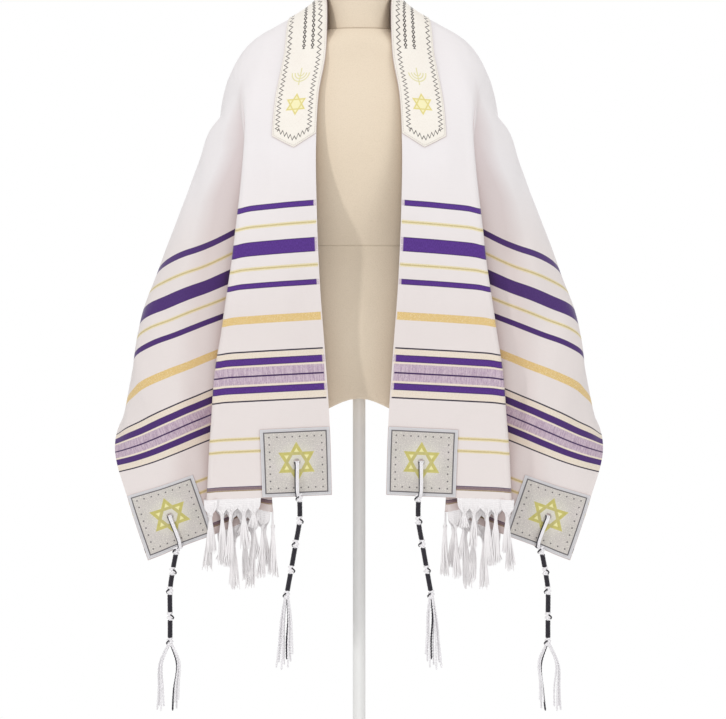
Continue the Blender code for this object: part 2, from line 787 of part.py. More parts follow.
def fringe(cloth, side):
    """A narrow strip along the hem between the patches, with knotted tassels below it."""
    row = cloth.points[-1]
    lengths = cloth.across[-1]
    inside = [l for l in lengths if FRINGE.starts + MM < l < FRINGE.ends - MM]
    tassels = int((FRINGE.ends - FRINGE.starts) / TASSEL_PITCH)
    edges = set(inside) | {FRINGE.starts, FRINGE.ends}
    centres = [FRINGE.starts + (k + 0.5) * TASSEL_PITCH for k in range(tassels)]
    for centre in centres:
        edges |= {centre - TASSEL_WIDTH / 2, centre + TASSEL_WIDTH / 2}
    marks = []
    for mark in sorted(edges):
        if not marks or mark - marks[-1] > HEM_STEP_LEAST:
            marks.append(mark)
    top = np.array([at_length(row, lengths, mark) for mark in marks])
    across_normals = np.array([at_length(cloth.normals[-1], lengths, mark) for mark in marks])
    down = unit(cloth.points[-1][2] - cloth.points[-2][2])
    grid = np.array([top + down * SEAM_GAP, top + down * STRIP_HEIGHT])
    bm = wall(grid, np.array([across_normals] * 2), -CLOTH_WALL / 2, CLOTH_WALL / 2)
    rims = [face for face in bm.faces if face.normal.dot(Vector(down)) > 0.7]
    places = [Vector(at_length(row, lengths, centre) + down * STRIP_HEIGHT) for centre in centres]
    roots = [min(rims, key=lambda f: (f.calc_center_median() - place).length) for place in places]
    for number, root in enumerate(roots):
        tassel(bm, root, TASSEL_DROPS[number % len(TASSEL_DROPS)] * MM, number)
    if side < 0:
        bmesh.ops.scale(bm, vec=(-1, 1, 1), verts=bm.verts)
    new_object(f"fringe_{'left' if side > 0 else 'right'}", bm, "strings")


def tassel(bm, face, drop, number):
    """A knot on a short stem, with four strands that spread a little towards their ends."""
    start = face.calc_center_median()
    sway = math.sin(SWAY_STEP * number) * SWAY
    stem = start + Vector((sway / 2, 0, -STEM_DROP))
    knot = stem + Vector((0, 0, -STEM_DROP))
    face = grown_strand(bm, face, [stem], STEM_SHARE)
    face = grown_strand(bm, face, [knot], KNOT_SWELL)
    pieces = bmesh.ops.subdivide_edges(bm, edges=list(face.edges), cuts=1, use_grid_fill=True)
    roots = [f for f in pieces["geom"] if isinstance(f, bmesh.types.BMFace) and f.normal.z < -0.7]
    bmesh.ops.inset_individual(bm, faces=roots, thickness=STRAND_INSET)
    for k, root in enumerate(roots):
        begin = root.calc_center_median()
        apart = (begin - knot) * STRANDS_APART
        end = knot + Vector((apart.x + sway, apart.y, -drop * (1 - STRAND_SHORTER * k)))
        grown_strand(bm, root, [end], STRAND_FLARE)


def clear_scene():
    """Starts from an empty scene."""
    for obj in list(bpy.data.objects):
        bpy.data.objects.remove(obj, do_unlink=True)


def main():
    """Builds every piece of the shawl, the form and the stand."""
    clear_scene()
    torso = torso_mesh()
    form = BVHTree.FromBMesh(torso)
    new_object("form_torso", torso, "form")
    new_object("form_neck", neck_mesh(), "form")
    stand()
    cloth = Cloth(form)
    half_wall = CLOTH_WALL / 2
    shawl = new_object("shawl_cloth", wall(cloth.points, cloth.normals, -half_wall, half_wall), "cloth")
    neckband(cloth)
    patches = (("inner", PATCH_INSET), ("outer", CLOTH_WIDTH - PATCH_INSET - PATCH_SIDE))
    for side, hand in ((1, "left"), (-1, "right")):
        for place, first in patches:
            corner_patch(cloth, f"patch_{place}_{hand}", side, first)
            joined(shawl, eyelet_cutter(cloth, side, first + PATCH_SIDE / 2), "DIFFERENCE")
        for plan in TZITZIT:
            tzitzit(cloth, plan, side)
        fringe(cloth, side)


main()
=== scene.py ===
"""The looks of a tallit prayer shawl on a limbless dress form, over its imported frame.

Metres, +Z up, the front facing -Y. The cloth is a thin shell on a surface worked out from a table of
widthwise sections, and every point on it carries its place on the woven cloth: how far across from
the inner selvedge, and how far along from the nape. Stripes and weave follow those two numbers.
"""

from __future__ import annotations

import logging
import math
import random
from dataclasses import dataclass, field
from enum import Enum
from typing import NamedTuple, Sequence, Union

import bpy
import numpy as np
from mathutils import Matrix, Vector
from mathutils.bvhtree import BVHTree

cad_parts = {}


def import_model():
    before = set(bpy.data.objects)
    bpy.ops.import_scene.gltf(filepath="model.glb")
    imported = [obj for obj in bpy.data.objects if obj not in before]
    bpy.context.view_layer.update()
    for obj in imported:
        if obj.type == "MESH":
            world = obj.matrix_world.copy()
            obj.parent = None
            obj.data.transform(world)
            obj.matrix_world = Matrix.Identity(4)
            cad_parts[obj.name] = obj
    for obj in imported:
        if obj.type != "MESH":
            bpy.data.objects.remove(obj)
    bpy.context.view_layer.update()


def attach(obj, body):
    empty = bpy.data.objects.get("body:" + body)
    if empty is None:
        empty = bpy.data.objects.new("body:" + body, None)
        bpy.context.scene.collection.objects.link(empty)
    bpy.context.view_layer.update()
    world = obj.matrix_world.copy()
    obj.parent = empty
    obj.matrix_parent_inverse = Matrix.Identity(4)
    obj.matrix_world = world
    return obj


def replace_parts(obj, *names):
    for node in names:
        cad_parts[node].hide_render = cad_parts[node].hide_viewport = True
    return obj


LOG = logging.getLogger("tallit")
MM = 0.001
BODY = "root"

# The cloth as it was woven
CLOTH_WIDTH = 500 * MM
HALF_LENGTH = 900 * MM
CLOTH_HALF_WALL = 0.45 * MM
SELVEDGE_SWELL = 0.35 * MM
SELVEDGE_REACH = 2.5 * MM
FOLD_RADIUS = 4.5 * MM
FOLD_LEAD = 9 * MM
CHEST_BULGE = 9 * MM
PLEAT_STARTS = 250 * MM
PLEAT_FULL = 400 * MM
FLUTE_DEPTH = 16 * MM
FLUTE_PITCH = 150 * MM
FLUTE_STARTS = 230 * MM
FLUTE_ENDS_ALONG = 560 * MM
FORM_CLEARANCE = 2.2 * MM
ROW_PITCH = 7 * MM

# What is sewn on
BAND_WIDTH = 70 * MM
BAND_HALF = 325 * MM
BAND_TIP_EDGE = 10 * MM
BAND_POINT = 20 * MM
BAND_WALL = 0.9 * MM
PATCH_SIDE = 106 * MM
PATCH_INSET = 1 * MM
PATCH_WALL = 0.8 * MM
PATCH_CELLS = 40
SEWN_GAP = 0.25 * MM
EYELET_RADIUS = 4.2 * MM

# The form and its stand
FORM_BOTTOM = 831 * MM
ARCH_DROP = 29 * MM
ARCH_HALF = 90 * MM
RIM_DEPTH = 3 * MM
SEAM_GAP = 0.3 * MM
WAIST_SEAM = 1.068
NECK_SEAM = 1.414


class Section(NamedTuple):
    """One widthwise section of the left half, in millimetres, from the inner selvedge outward."""

    along: float
    inner: tuple
    fold: tuple
    tuck: tuple
    panel: tuple
    side: tuple
    back: tuple
    outer: tuple


SECTIONS = (
    Section(0, (0, 68, 1466), (0, 92, 1368), (0, 106, 1304), (0, 112, 1222), (0, 114, 1132),
            (0, 118, 1050), (0, 122, 968)),
    Section(100, (-57, 8, 1480), (-116, 54, 1392), (-130, 84, 1328), (-132, 104, 1246),
            (-124, 112, 1156), (-110, 118, 1074), (-90, 122, 985)),
    Section(150, (-51, -34, 1455), (-160, 12, 1405), (-184, 38, 1364), (-194, 68, 1296),
            (-186, 88, 1210), (-166, 102, 1119), (-136, 112, 1018)),
    Section(200, (-52, -64, 1380), (-187, -13, 1367), (-206, 3, 1344), (-219, 28, 1296),
            (-216, 56, 1212), (-197, 82, 1116), (-172, 98, 1018)),
    Section(270, (-63, -96, 1308), (-178, -64, 1298), (-189, -54, 1291), (-213, -38, 1277),
            (-238, -6, 1254), (-242, 38, 1142), (-214, 76, 986)),
    Section(350, (-67, -122, 1228), (-180, -98, 1218), (-171, -89, 1206), (-215, -76, 1187),
            (-269, -30, 1157), (-284, 34, 1057), (-250, 66, 930)),
    Section(445, (-66, -136, 1133), (-189, -128, 1122), (-164, -119, 1101), (-225, -112, 1072),
            (-308, -66, 1039), (-324, -8, 1000), (-294, 44, 887)),
    Section(568, (-61, -141, 1010), (-204, -142, 1000), (-156, -133, 976), (-240, -127, 945),
            (-348, -88, 901), (-359, -48, 876), (-352, -8, 832)),
    Section(690, (-52, -143, 888), (-222, -150, 879), (-147, -141, 854), (-248, -134, 815),
            (-326, -116, 781), (-360, -98, 767), (-384, -72, 757)),
    Section(800, (-45, -144, 778), (-231, -153, 770), (-140, -144, 749), (-232, -137, 713),
            (-300, -124, 688), (-332, -116, 678), (-361, -106, 669)),
    Section(900, (-42, -145, 679), (-236, -155, 672), (-134, -146, 653), (-215, -139, 621),
            (-281, -131, 596), (-306, -128, 585), (-329, -125, 576)),
)

BAND_STEPS = 14
SPAN_STEPS = (14, 3, 3, 3, 3, 8, 3, 3, 3, 3, 10, 18, 18, 14)
FINE_STEPS = 12
KNOTS_TO_FOLD = 2
FOLD_COLUMN = BAND_STEPS + sum(SPAN_STEPS[:3])
FOLD_DROOP = 3 * MM


class Ring(NamedTuple):
    """One level of the form, in millimetres, and how much of the rim's arch it takes."""

    height: float
    half_width: float
    front: float
    back: float
    arch: float = 0.0


TORSO_RINGS = (
    Ring(1414, 56, 50, 60),
    Ring(1405, 68, 56, 66),
    Ring(1392, 97, 62, 73),
    Ring(1376, 128, 66, 80),
    Ring(1360, 154, 70, 86),
    Ring(1340, 171, 78, 91),
    Ring(1312, 178, 90, 96),
    Ring(1270, 177, 104, 99),
    Ring(1205, 168, 115, 98),
    Ring(1135, 148, 108, 89),
    Ring(1068, 130, 92, 82),
    Ring(1000, 145, 97, 92),
    Ring(930, 162, 104, 106, 0.12),
    Ring(870, 166, 104, 108, 0.5),
    Ring(831, 163, 100, 104, 1.0),
)
NECK_RINGS = (
    Ring(1500, 42, 43, 49),
    Ring(1497, 49.5, 48, 54),
    Ring(1488, 52, 50, 56),
    Ring(1460, 52, 49, 56),
    Ring(1430, 52.5, 49, 57),
    Ring(1414.3, 54, 49, 59),
)
RING_POWER = 2.25


class Crease(NamedTuple):
    """A soft trough or ridge on the cloth: its two ends as (along, across), in millimetres.

    depth is positive for a ridge, and bow is how far its middle swings along the cloth.
    """

    begins: tuple
    ends: tuple
    width: float
    depth: float
    bow: float


CREASES = (
    Crease((150, 90), (520, 150), 16, 2.4, 10),
    Crease((250, 30), (460, 60), 11, -1.3, 6),
    Crease((430, 40), (700, 75), 18, 1.4, -8),
    Crease((520, 110), (860, 128), 15, -1.6, 8),
    Crease((640, 45), (880, 40), 13, 1.1, 4),
    Crease((230, 215), (520, 262), 18, -4.0, 12),
    Crease((300, 255), (640, 300), 16, 2.8, -10),
    Crease((420, 300), (760, 352), 19, -3.4, 14),
    Crease((520, 352), (840, 388), 15, 2.6, -8),
    Crease((610, 300), (880, 330), 14, 1.8, 6),
    Crease((480, 400), (760, 452), 18, -3.0, 10),
    Crease((650, 405), (870, 430), 13, 1.9, -6),
    Crease((60, 150), (260, 330), 17, 2.2, 20),
    Crease((20, 120), (200, 190), 14, -1.8, -14),
    Crease((110, 240), (380, 440), 20, 3.0, 22),
    Crease((30, 260), (160, 400), 16, -2.2, 12),
    Crease((200, 380), (360, 480), 14, -2.0, 8),
)


class Dye(Enum):
    """The colours of the cloth's yarns, as linear red, green and blue."""

    WHITE = (0.820, 0.788, 0.796, 1)
    PURPLE = (0.076, 0.022, 0.220, 1)
    # DEEP is a dyed yarn, and also the colour that painted shade darkens the purple toward.
    DEEP = (0.036, 0.010, 0.080, 1)
    GOLD = (0.800, 0.600, 0.260, 1)
    PALE_GOLD = (0.82, 0.755, 0.520, 1)
    OLD_GOLD = (0.600, 0.515, 0.265, 1)
    LILAC = (0.445, 0.335, 0.460, 1)
    CREAM = (0.845, 0.785, 0.700, 1)
    INK = (0.022, 0.014, 0.035, 1)
    MAUVE = (0.215, 0.155, 0.175, 1)
    BRONZE = (0.300, 0.225, 0.130, 1)


class Stripe(NamedTuple):
    """One woven stripe: its middle and width along the cloth and where it starts across it, in mm."""

    along: float
    width: float
    dye: Dye
    starts: float = 0.0
    speckle: float = 0.0


STRIPES = (
    Stripe(444.6, 9.2, Dye.PURPLE, 4.0),
    Stripe(474.4, 6.2, Dye.PALE_GOLD, 0.5, 0.2),
    Stripe(474.4, 2.3, Dye.OLD_GOLD, 0.5, 0.35),
    Stripe(509.2, 22.4, Dye.PURPLE, 4.0),
    Stripe(541.0, 6.2, Dye.PALE_GOLD, 0.5, 0.2),
    Stripe(541.0, 2.3, Dye.OLD_GOLD, 0.5, 0.35),
    Stripe(567.5, 8.8, Dye.PURPLE, 4.0),
    Stripe(620.6, 12.4, Dye.GOLD, 1.0, 0.5),
    Stripe(677.0, 10.0, Dye.CREAM, 1.0, 0.2),
    Stripe(670.6, 2.3, Dye.INK, 2.0),
    Stripe(692.8, 4.6, Dye.CREAM, 1.0, 0.2),
    Stripe(686.4, 11.0, Dye.PURPLE, 4.0),
    Stripe(701.6, 13.4, Dye.LILAC, 2.0, 0.9),
    Stripe(716.0, 12.6, Dye.LILAC, 2.0, 0.9),
    Stripe(708.9, 2.5, Dye.DEEP, 3.0),
    Stripe(723.6, 4.2, Dye.CREAM, 1.0, 0.2),
    Stripe(730.2, 10.8, Dye.PURPLE, 4.0),
    Stripe(741.2, 10.4, Dye.CREAM, 1.0, 0.2),
    Stripe(747.6, 2.3, Dye.INK, 2.0),
    Stripe(806.4, 5.6, Dye.PALE_GOLD, 0.5, 0.2),
    Stripe(806.4, 2.3, Dye.OLD_GOLD, 0.5, 0.35),
    Stripe(825.9, 5.6, Dye.PALE_GOLD, 0.5, 0.2),
    Stripe(825.9, 2.3, Dye.OLD_GOLD, 0.5, 0.35),
    Stripe(881.4, 1.4, Dye.DEEP, 1.0),
    Stripe(884.2, 4.2, Dye.MAUVE, 1.0),
    Stripe(887.2, 1.8, Dye.BRONZE, 1.0, 0.2),
)


class TzitzitPlan(NamedTuple):
    """One tzitzit of the left half, in millimetres seen from the front, as (x, z) points."""

    name: str
    across: float
    knots: tuple
    strand_ends: tuple
    dark_strands: tuple
    bow: float


TZITZIT = (
    TzitzitPlan("inner", 54 * MM, ((-92, 675), (-92, 640), (-98, 604), (-105, 564), (-112, 525)),
                ((-128, 412), (-124, 420), (-120, 409), (-116, 416), (-112, 425), (-110, 412),
                 (-106, 421), (-103, 433)), (4,), 2.0),
    TzitzitPlan("outer", 446 * MM, ((-284, 592), (-290, 560), (-294, 530), (-294, 490), (-294, 450)),
                ((-314, 344), (-311, 350), (-308, 343), (-304, 349), (-290, 343), (-287, 356),
                 (-284, 346), (-281, 360)), (4,), 9.0),
)


@dataclass(frozen=True)
class Framing:
    """The photograph's frame: its real width, centre and distance."""

    pixels_wide: int = 726
    pixel: float = 1.56 * MM
    centre_x: float = 6.2 * MM
    centre_z: float = 889.2 * MM
    plane_y: float = -120 * MM
    distance: float = 4.8
    sensor: float = 36.0

    def place(self) -> bpy.types.Object:
        """Adds the camera and makes it the scene's own."""
        data = bpy.data.cameras.new("camera")
        data.sensor_fit = "HORIZONTAL"
        data.sensor_width = self.sensor
        data.lens = self.sensor * self.distance / (self.pixels_wide * self.pixel)
        camera = bpy.data.objects.new("camera", data)
        camera.location = (self.centre_x, self.plane_y - self.distance, self.centre_z)
        camera.rotation_euler = (math.pi / 2, 0, 0)
        bpy.context.scene.collection.objects.link(camera)
        bpy.context.scene.camera = camera
        return camera


@dataclass(frozen=True)
class SoftBox:
    """One square studio light that looks at the shawl."""

    name: str
    place: tuple
    side: float
    power: float
    target: tuple = (0.0, 0.0, 0.95)

    def make(self) -> bpy.types.Object:
        """Adds the light."""
        data = bpy.data.lights.new(self.name, "AREA")
        data.shape = "SQUARE"
        data.size = self.side
        data.energy = self.power
        lamp = bpy.data.objects.new(self.name, data)
        lamp.location = self.place
        look = Vector(self.target) - Vector(self.place)
        lamp.rotation_euler = look.to_track_quat("-Z", "Y").to_euler()
        lamp.visible_camera = False
        bpy.context.scene.collection.objects.link(lamp)
        return lamp


ROOM_LIGHT = 0.50
SOFT_BOXES = (
    SoftBox("front", (0.0, -5.6, 1.5), 2.4, 32),
    SoftBox("key_left", (-3.8, -2.7, 2.5), 0.26, 66),
    SoftBox("key_right", (3.9, -2.3, 2.5), 2.0, 56),
    SoftBox("low_front", (0.0, -4.2, 0.35), 1.4, 16, target=(0.0, -0.1, 0.6)),
    SoftBox("top", (0.0, -0.3, 3.4), 1.0, 12),
    SoftBox("back_fill", (0.0, 3.6, 2.4), 2.6, 64),
)


# Surface of the cloth


def smooth_step(low: float, high: float, value: np.ndarray | float) -> np.ndarray:
    """0 below low, 1 above high, and an S-curve between."""
    share = np.clip((value - low) / (high - low), 0.0, 1.0)
    return share * share * (3 - 2 * share)


def unit(vector: np.ndarray) -> np.ndarray:
    """The vectors along the last axis at length 1."""
    return vector / np.linalg.norm(vector, axis=-1, keepdims=True)


def through_rows(stations: np.ndarray, rows: np.ndarray, at: float) -> np.ndarray:
    """The rows interpolated smoothly at one station, straight past the last.

    Args:
        stations: where the rows lie, rising.
        rows: one array of values for each station.
        at: the station that is wanted.

    Returns:
        The values there, shaped as one row.
    """
    if at >= stations[-1]:
        slope = (rows[-1] - rows[-2]) / (stations[-1] - stations[-2])
        return rows[-1] + slope * (at - stations[-1])
    first = max(int(np.searchsorted(stations, at, side="right")) - 1, 0)
    span = stations[first + 1] - stations[first]

    def slope_at(i: int) -> np.ndarray:
        """The slope of every value at one station."""
        if i == 0:
            return (rows[1] - rows[0]) / (stations[1] - stations[0])
        if i + 1 >= len(stations):
            return (rows[i] - rows[i - 1]) / (stations[i] - stations[i - 1])
        before = stations[i] - stations[i - 1]
        after = stations[i + 1] - stations[i]
        rise = (rows[i] - rows[i - 1]) / before
        fall = (rows[i + 1] - rows[i]) / after
        return (rise * after + fall * before) / (before + after)

    v = (at - stations[first]) / span
    return (
        rows[first] * (2 * v**3 - 3 * v**2 + 1)
        + slope_at(first) * span * (v**3 - 2 * v**2 + v)
        + rows[first + 1] * (3 * v**2 - 2 * v**3)
        + slope_at(first + 1) * span * (v**3 - v**2)
    )


def mirrored(section: Section) -> Section:
    """The same section on the right half, for the slope at the nape."""
    return Section(-section.along, *[(-x, y, z) for x, y, z in section[1:]])


TABLE = [mirrored(SECTIONS[1]), *SECTIONS]
STATIONS = np.array([section.along for section in TABLE]) * MM
LINES = np.array([section[1:] for section in TABLE]) * MM


def spline_through(knots: np.ndarray, steps: int = FINE_STEPS) -> np.ndarray:
    """A centripetal Catmull-Rom curve through the knots.

    Args:
        knots: the points that it passes.
        steps: how many steps each span has.

    Returns:
        The curve's points, the knots among them.
    """
    ends = [2 * knots[0] - knots[1], *knots, 2 * knots[-1] - knots[-2]]
    points = [knots[:1]]
    for k in range(len(knots) - 1):
        p0, p1, p2, p3 = ends[k : k + 4]
        t1 = np.linalg.norm(p1 - p0) ** 0.5
        t2 = t1 + np.linalg.norm(p2 - p1) ** 0.5
        t3 = t2 + np.linalg.norm(p3 - p2) ** 0.5
        t = (t1 + (t2 - t1) * np.arange(1, steps + 1) / steps)[:, None]
        a = p0 * (t1 - t) / t1 + p1 * t / t1
        b = p1 * (t2 - t) / (t2 - t1) + p2 * (t - t1) / (t2 - t1)
        c = p2 * (t3 - t) / (t3 - t2) + p3 * (t - t2) / (t3 - t2)
        d = a * (t2 - t) / t2 + b * t / t2
        e = b * (t3 - t) / (t3 - t1) + c * (t - t1) / (t3 - t1)
        points.append(d * (t2 - t) / (t2 - t1) + e * (t - t1) / (t2 - t1))
    return np.concatenate(points)


def running_length(points: np.ndarray) -> np.ndarray:
    """The distance along the points, from 0 at the first."""
    return np.concatenate([[0], np.cumsum(np.linalg.norm(np.diff(points, axis=0), axis=1))])


def at_lengths(points: np.ndarray, lengths: np.ndarray, wanted: Sequence[float]) -> np.ndarray:
    """The points at these distances along the points."""
    return np.stack([np.interp(wanted, lengths, points[:, axis]) for axis in range(3)], axis=-1)


def flat_knots(corners: np.ndarray, r: float, lead: float) -> np.ndarray:
    """The knots where the cloth has no pleat: all of them on one smooth curve."""
    line = spline_through(corners)
    lengths = running_length(line)
    inner, fold, tuck, *rest = lengths[::FINE_STEPS]
    places = [
        inner,
        fold / 2,
        fold - r - FOLD_LEAD,
        fold - r,
        fold,
        fold + r,
        fold + r + lead,
        tuck - r - lead,
        tuck - r,
        tuck,
        tuck + r,
        tuck + r + FOLD_LEAD,
        *rest,
    ]
    return at_lengths(line, lengths, places)


def pleated_knots(corners: np.ndarray, r: float, lead: float) -> np.ndarray:
    """The knots where the front panel lies in a pleat over the outer one."""
    inner, fold, tuck, panel, side, back, outer = corners
    chest = (inner + fold) / 2 + np.array([0, -CHEST_BULGE, 0])
    fold_in = fold + np.array([r, -r, 0])
    fold_out = fold + np.array([r, r, 0])
    tuck_in = tuck + np.array([-r, -r, 0])
    tuck_out = tuck + np.array([-r, r, 0])
    return np.array([
        inner,
        chest,
        fold_in + unit(chest - fold_in) * FOLD_LEAD,
        fold_in,
        fold,
        fold_out,
        fold_out + unit(tuck_in - fold_out) * lead,
        tuck_in + unit(fold_out - tuck_in) * lead,
        tuck_in,
        tuck,
        tuck_out,
        tuck_out + unit(panel - tuck_out) * FOLD_LEAD,
        panel,
        side,
        back,
        outer,
    ])


def section_points(along: float) -> np.ndarray:
    """One section of the left half, evenly divided across the band and then span by span."""
    corners = through_rows(STATIONS, LINES, along)
    hidden = np.linalg.norm(corners[2] - corners[1])
    r = min(FOLD_RADIUS, 0.3 * hidden)
    lead = min(FOLD_LEAD, 0.5 * (hidden - 2 * r))
    folded = smooth_step(PLEAT_STARTS, PLEAT_FULL, along)
    knots = (1 - folded) * flat_knots(corners, r, lead) + folded * pleated_knots(corners, r, lead)
    fine = spline_through(knots)
    lengths = running_length(fine)
    to_fold = KNOTS_TO_FOLD * FINE_STEPS
    stops = [np.linspace(0, BAND_WIDTH, BAND_STEPS + 1)]
    stops.append(np.linspace(BAND_WIDTH, lengths[to_fold], SPAN_STEPS[0] + 1)[1:])
    for k, count in enumerate(SPAN_STEPS[1:]):
        first = to_fold + k * FINE_STEPS
        stops.append(np.linspace(lengths[first], lengths[first + FINE_STEPS], count + 1)[1:])
    return fluted(at_lengths(fine, lengths, np.concatenate(stops)), along)


def fluted(points: np.ndarray, along: float) -> np.ndarray:
    """The section with the back's soft flutes, deepest at the outer selvedge."""
    lengths = running_length(points)
    fade = 1 - smooth_step(0.5 * FLUTE_ENDS_ALONG, FLUTE_ENDS_ALONG, along)
    wave = 0.5 - 0.5 * math.cos(2 * math.pi * along / FLUTE_PITCH)
    depth = FLUTE_DEPTH * fade * wave * smooth_step(FLUTE_STARTS, CLOTH_WIDTH, lengths)
    sides = np.stack([points[:, 0] * 0.6, np.full(len(points), 0.14), np.zeros(len(points))], axis=1)
    return points + unit(sides) * depth[:, None]


def surface_normals(points: np.ndarray) -> np.ndarray:
    """The outward normals of a grid of points: rows run along the cloth, columns across it."""
    return unit(np.cross(np.gradient(points, axis=1), np.gradient(points, axis=0)))


def blurred(grid: np.ndarray, passes: int) -> np.ndarray:
    """The grid's values averaged with their neighbours, so many times."""
    for _ in range(passes):
        padded = np.pad(grid, 1, mode="edge")
        grid = (padded[:-2, 1:-1] + padded[2:, 1:-1] + padded[1:-1, :-2] + padded[1:-1, 2:]) / 8 + (
            grid / 2
        )
    return grid


@dataclass
class Cloth:
    """The cloth's middle surface: rows of points, their normals and their places on the cloth."""

    stations: np.ndarray
    points: np.ndarray
    across: np.ndarray
    normals: np.ndarray = field(init=False)

    def __post_init__(self) -> None:
        self.normals = surface_normals(self.points)

    @classmethod
    def draped(cls, form: BVHTree) -> "Cloth":
        """Works out the cloth from the table, with its creases, clear of the form."""
        half = np.linspace(0, HALF_LENGTH, round(HALF_LENGTH / ROW_PITCH) + 1)
        left = np.array([section_points(a) for a in half])
        flip = np.array([-1, 1, 1])
        points = np.concatenate([left[:0:-1] * flip, left])
        stations = np.concatenate([-half[:0:-1], half])
        across = np.array([woven_places(row) for row in points])
        cloth = cls(stations, points, across)
        cloth.crease()
        cloth.keep_clear(form)
        return cloth

    def crease(self) -> None:
        """Moves the surface by its creases and by a slight unevenness."""
        along = np.abs(self.stations)[:, None] / MM + 0 * self.across
        across = self.across / MM
        moved = np.zeros_like(across)
        for crease in CREASES:
            moved += crease_depth(crease, along, across)
        right = (self.stations < 0)[:, None]
        moved += 0.55 * np.sin(along / 23 + across / 31) * np.sin(across / 17 - along / 61)
        moved += np.where(right, 0.35, -0.35) * np.sin(along / 41) * np.sin(across / 27 + 0.8)
        edge = smooth_step(0, 14, across)
        seated = 1 - 0.7 * (across < BAND_WIDTH / MM) * (along < BAND_HALF / MM)
        shift = blurred(moved * edge * seated, 4) * MM
        self.points = self.points + self.normals * shift[..., None]
        from_fold = across - across[:, FOLD_COLUMN : FOLD_COLUMN + 1]
        hanging = smooth_step(330, 430, along) * (1 - 0.6 * smooth_step(520, 880, along))
        self.points[..., 2] -= FOLD_DROOP * hanging * np.exp(-((from_fold / 13) ** 2))
        self.normals = surface_normals(self.points)

    def keep_clear(self, form: BVHTree) -> None:
        """Eases the cloth out wherever it lies too near the form."""
        for _ in range(4):
            need = np.zeros(self.points.shape[:2])
            push = np.zeros_like(self.points)
            for i, j in np.ndindex(*need.shape):
                place = Vector(self.points[i, j])
                near, normal, _, distance = form.find_nearest(place, 0.05)
                if near is None:
                    continue
                short = FORM_CLEARANCE - (place - near).dot(normal)
                if short > 0:
                    need[i, j] = short
                    push[i, j] = normal
            soft = np.maximum(need, blurred(need, 6))
            ways = np.stack([blurred(push[..., axis], 6) for axis in range(3)], axis=-1)
            size = np.linalg.norm(ways, axis=2, keepdims=True)
            self.points = self.points + np.where(size > 1e-6, ways / (size + 1e-9), 0) * soft[..., None]
        self.normals = surface_normals(self.points)

    def at(self, along: Sequence[float], across: Sequence[float]) -> tuple[np.ndarray, np.ndarray]:
        """Finds places on the cloth.

        Args:
            along: distances from the nape, positive on the left.
            across: distances from the inner selvedge, of the same shape.

        Returns:
            The points and their outward normals.
        """
        along, across = np.broadcast_arrays(np.asarray(along, float), np.asarray(across, float))
        rows = np.clip(np.searchsorted(self.stations, along) - 1, 0, len(self.stations) - 2)
        step = self.stations[rows + 1] - self.stations[rows]
        down = (along - self.stations[rows]) / step
        points = np.empty(along.shape + (3,))
        normals = np.empty(along.shape + (3,))
        for place in np.ndindex(*along.shape):
            i, share = rows[place], down[place]
            pair = []
            for row in (i, i + 1):
                pair.append([
                    [np.interp(across[place], self.across[row], grid[row, :, axis]) for axis in range(3)]
                    for grid in (self.points, self.normals)
                ])
            mixed = np.array(pair[0]) * (1 - share) + np.array(pair[1]) * share
            points[place], normals[place] = mixed
        return points, unit(normals)


def woven_places(row: np.ndarray) -> np.ndarray:
    """The distance of each point of a section from the inner selvedge, on the cloth as woven."""
    lengths = running_length(row)
    beyond = max(lengths[-1] - BAND_WIDTH, MM)
    scale = (CLOTH_WIDTH - BAND_WIDTH) / beyond
    return np.where(lengths < BAND_WIDTH, lengths, BAND_WIDTH + (lengths - BAND_WIDTH) * scale)


def crease_depth(crease: Crease, along: np.ndarray, across: np.ndarray) -> np.ndarray:
    """How far one crease moves each place of the cloth, in millimetres."""
    (a0, c0), (a1, c1) = crease.begins, crease.ends
    length = math.hypot(a1 - a0, c1 - c0)
    ahead = ((along - a0) * (a1 - a0) + (across - c0) * (c1 - c0)) / length
    aside = ((across - c0) * (a1 - a0) - (along - a0) * (c1 - c0)) / length
    share = ahead / length
    aside = aside - crease.bow * np.sin(math.pi * np.clip(share, 0, 1))
    fade = smooth_step(-0.12, 0.3, share) * (1 - smooth_step(0.65, 1.12, share))
    return crease.depth * fade * np.exp(-((aside / crease.width) ** 2))


# Meshes


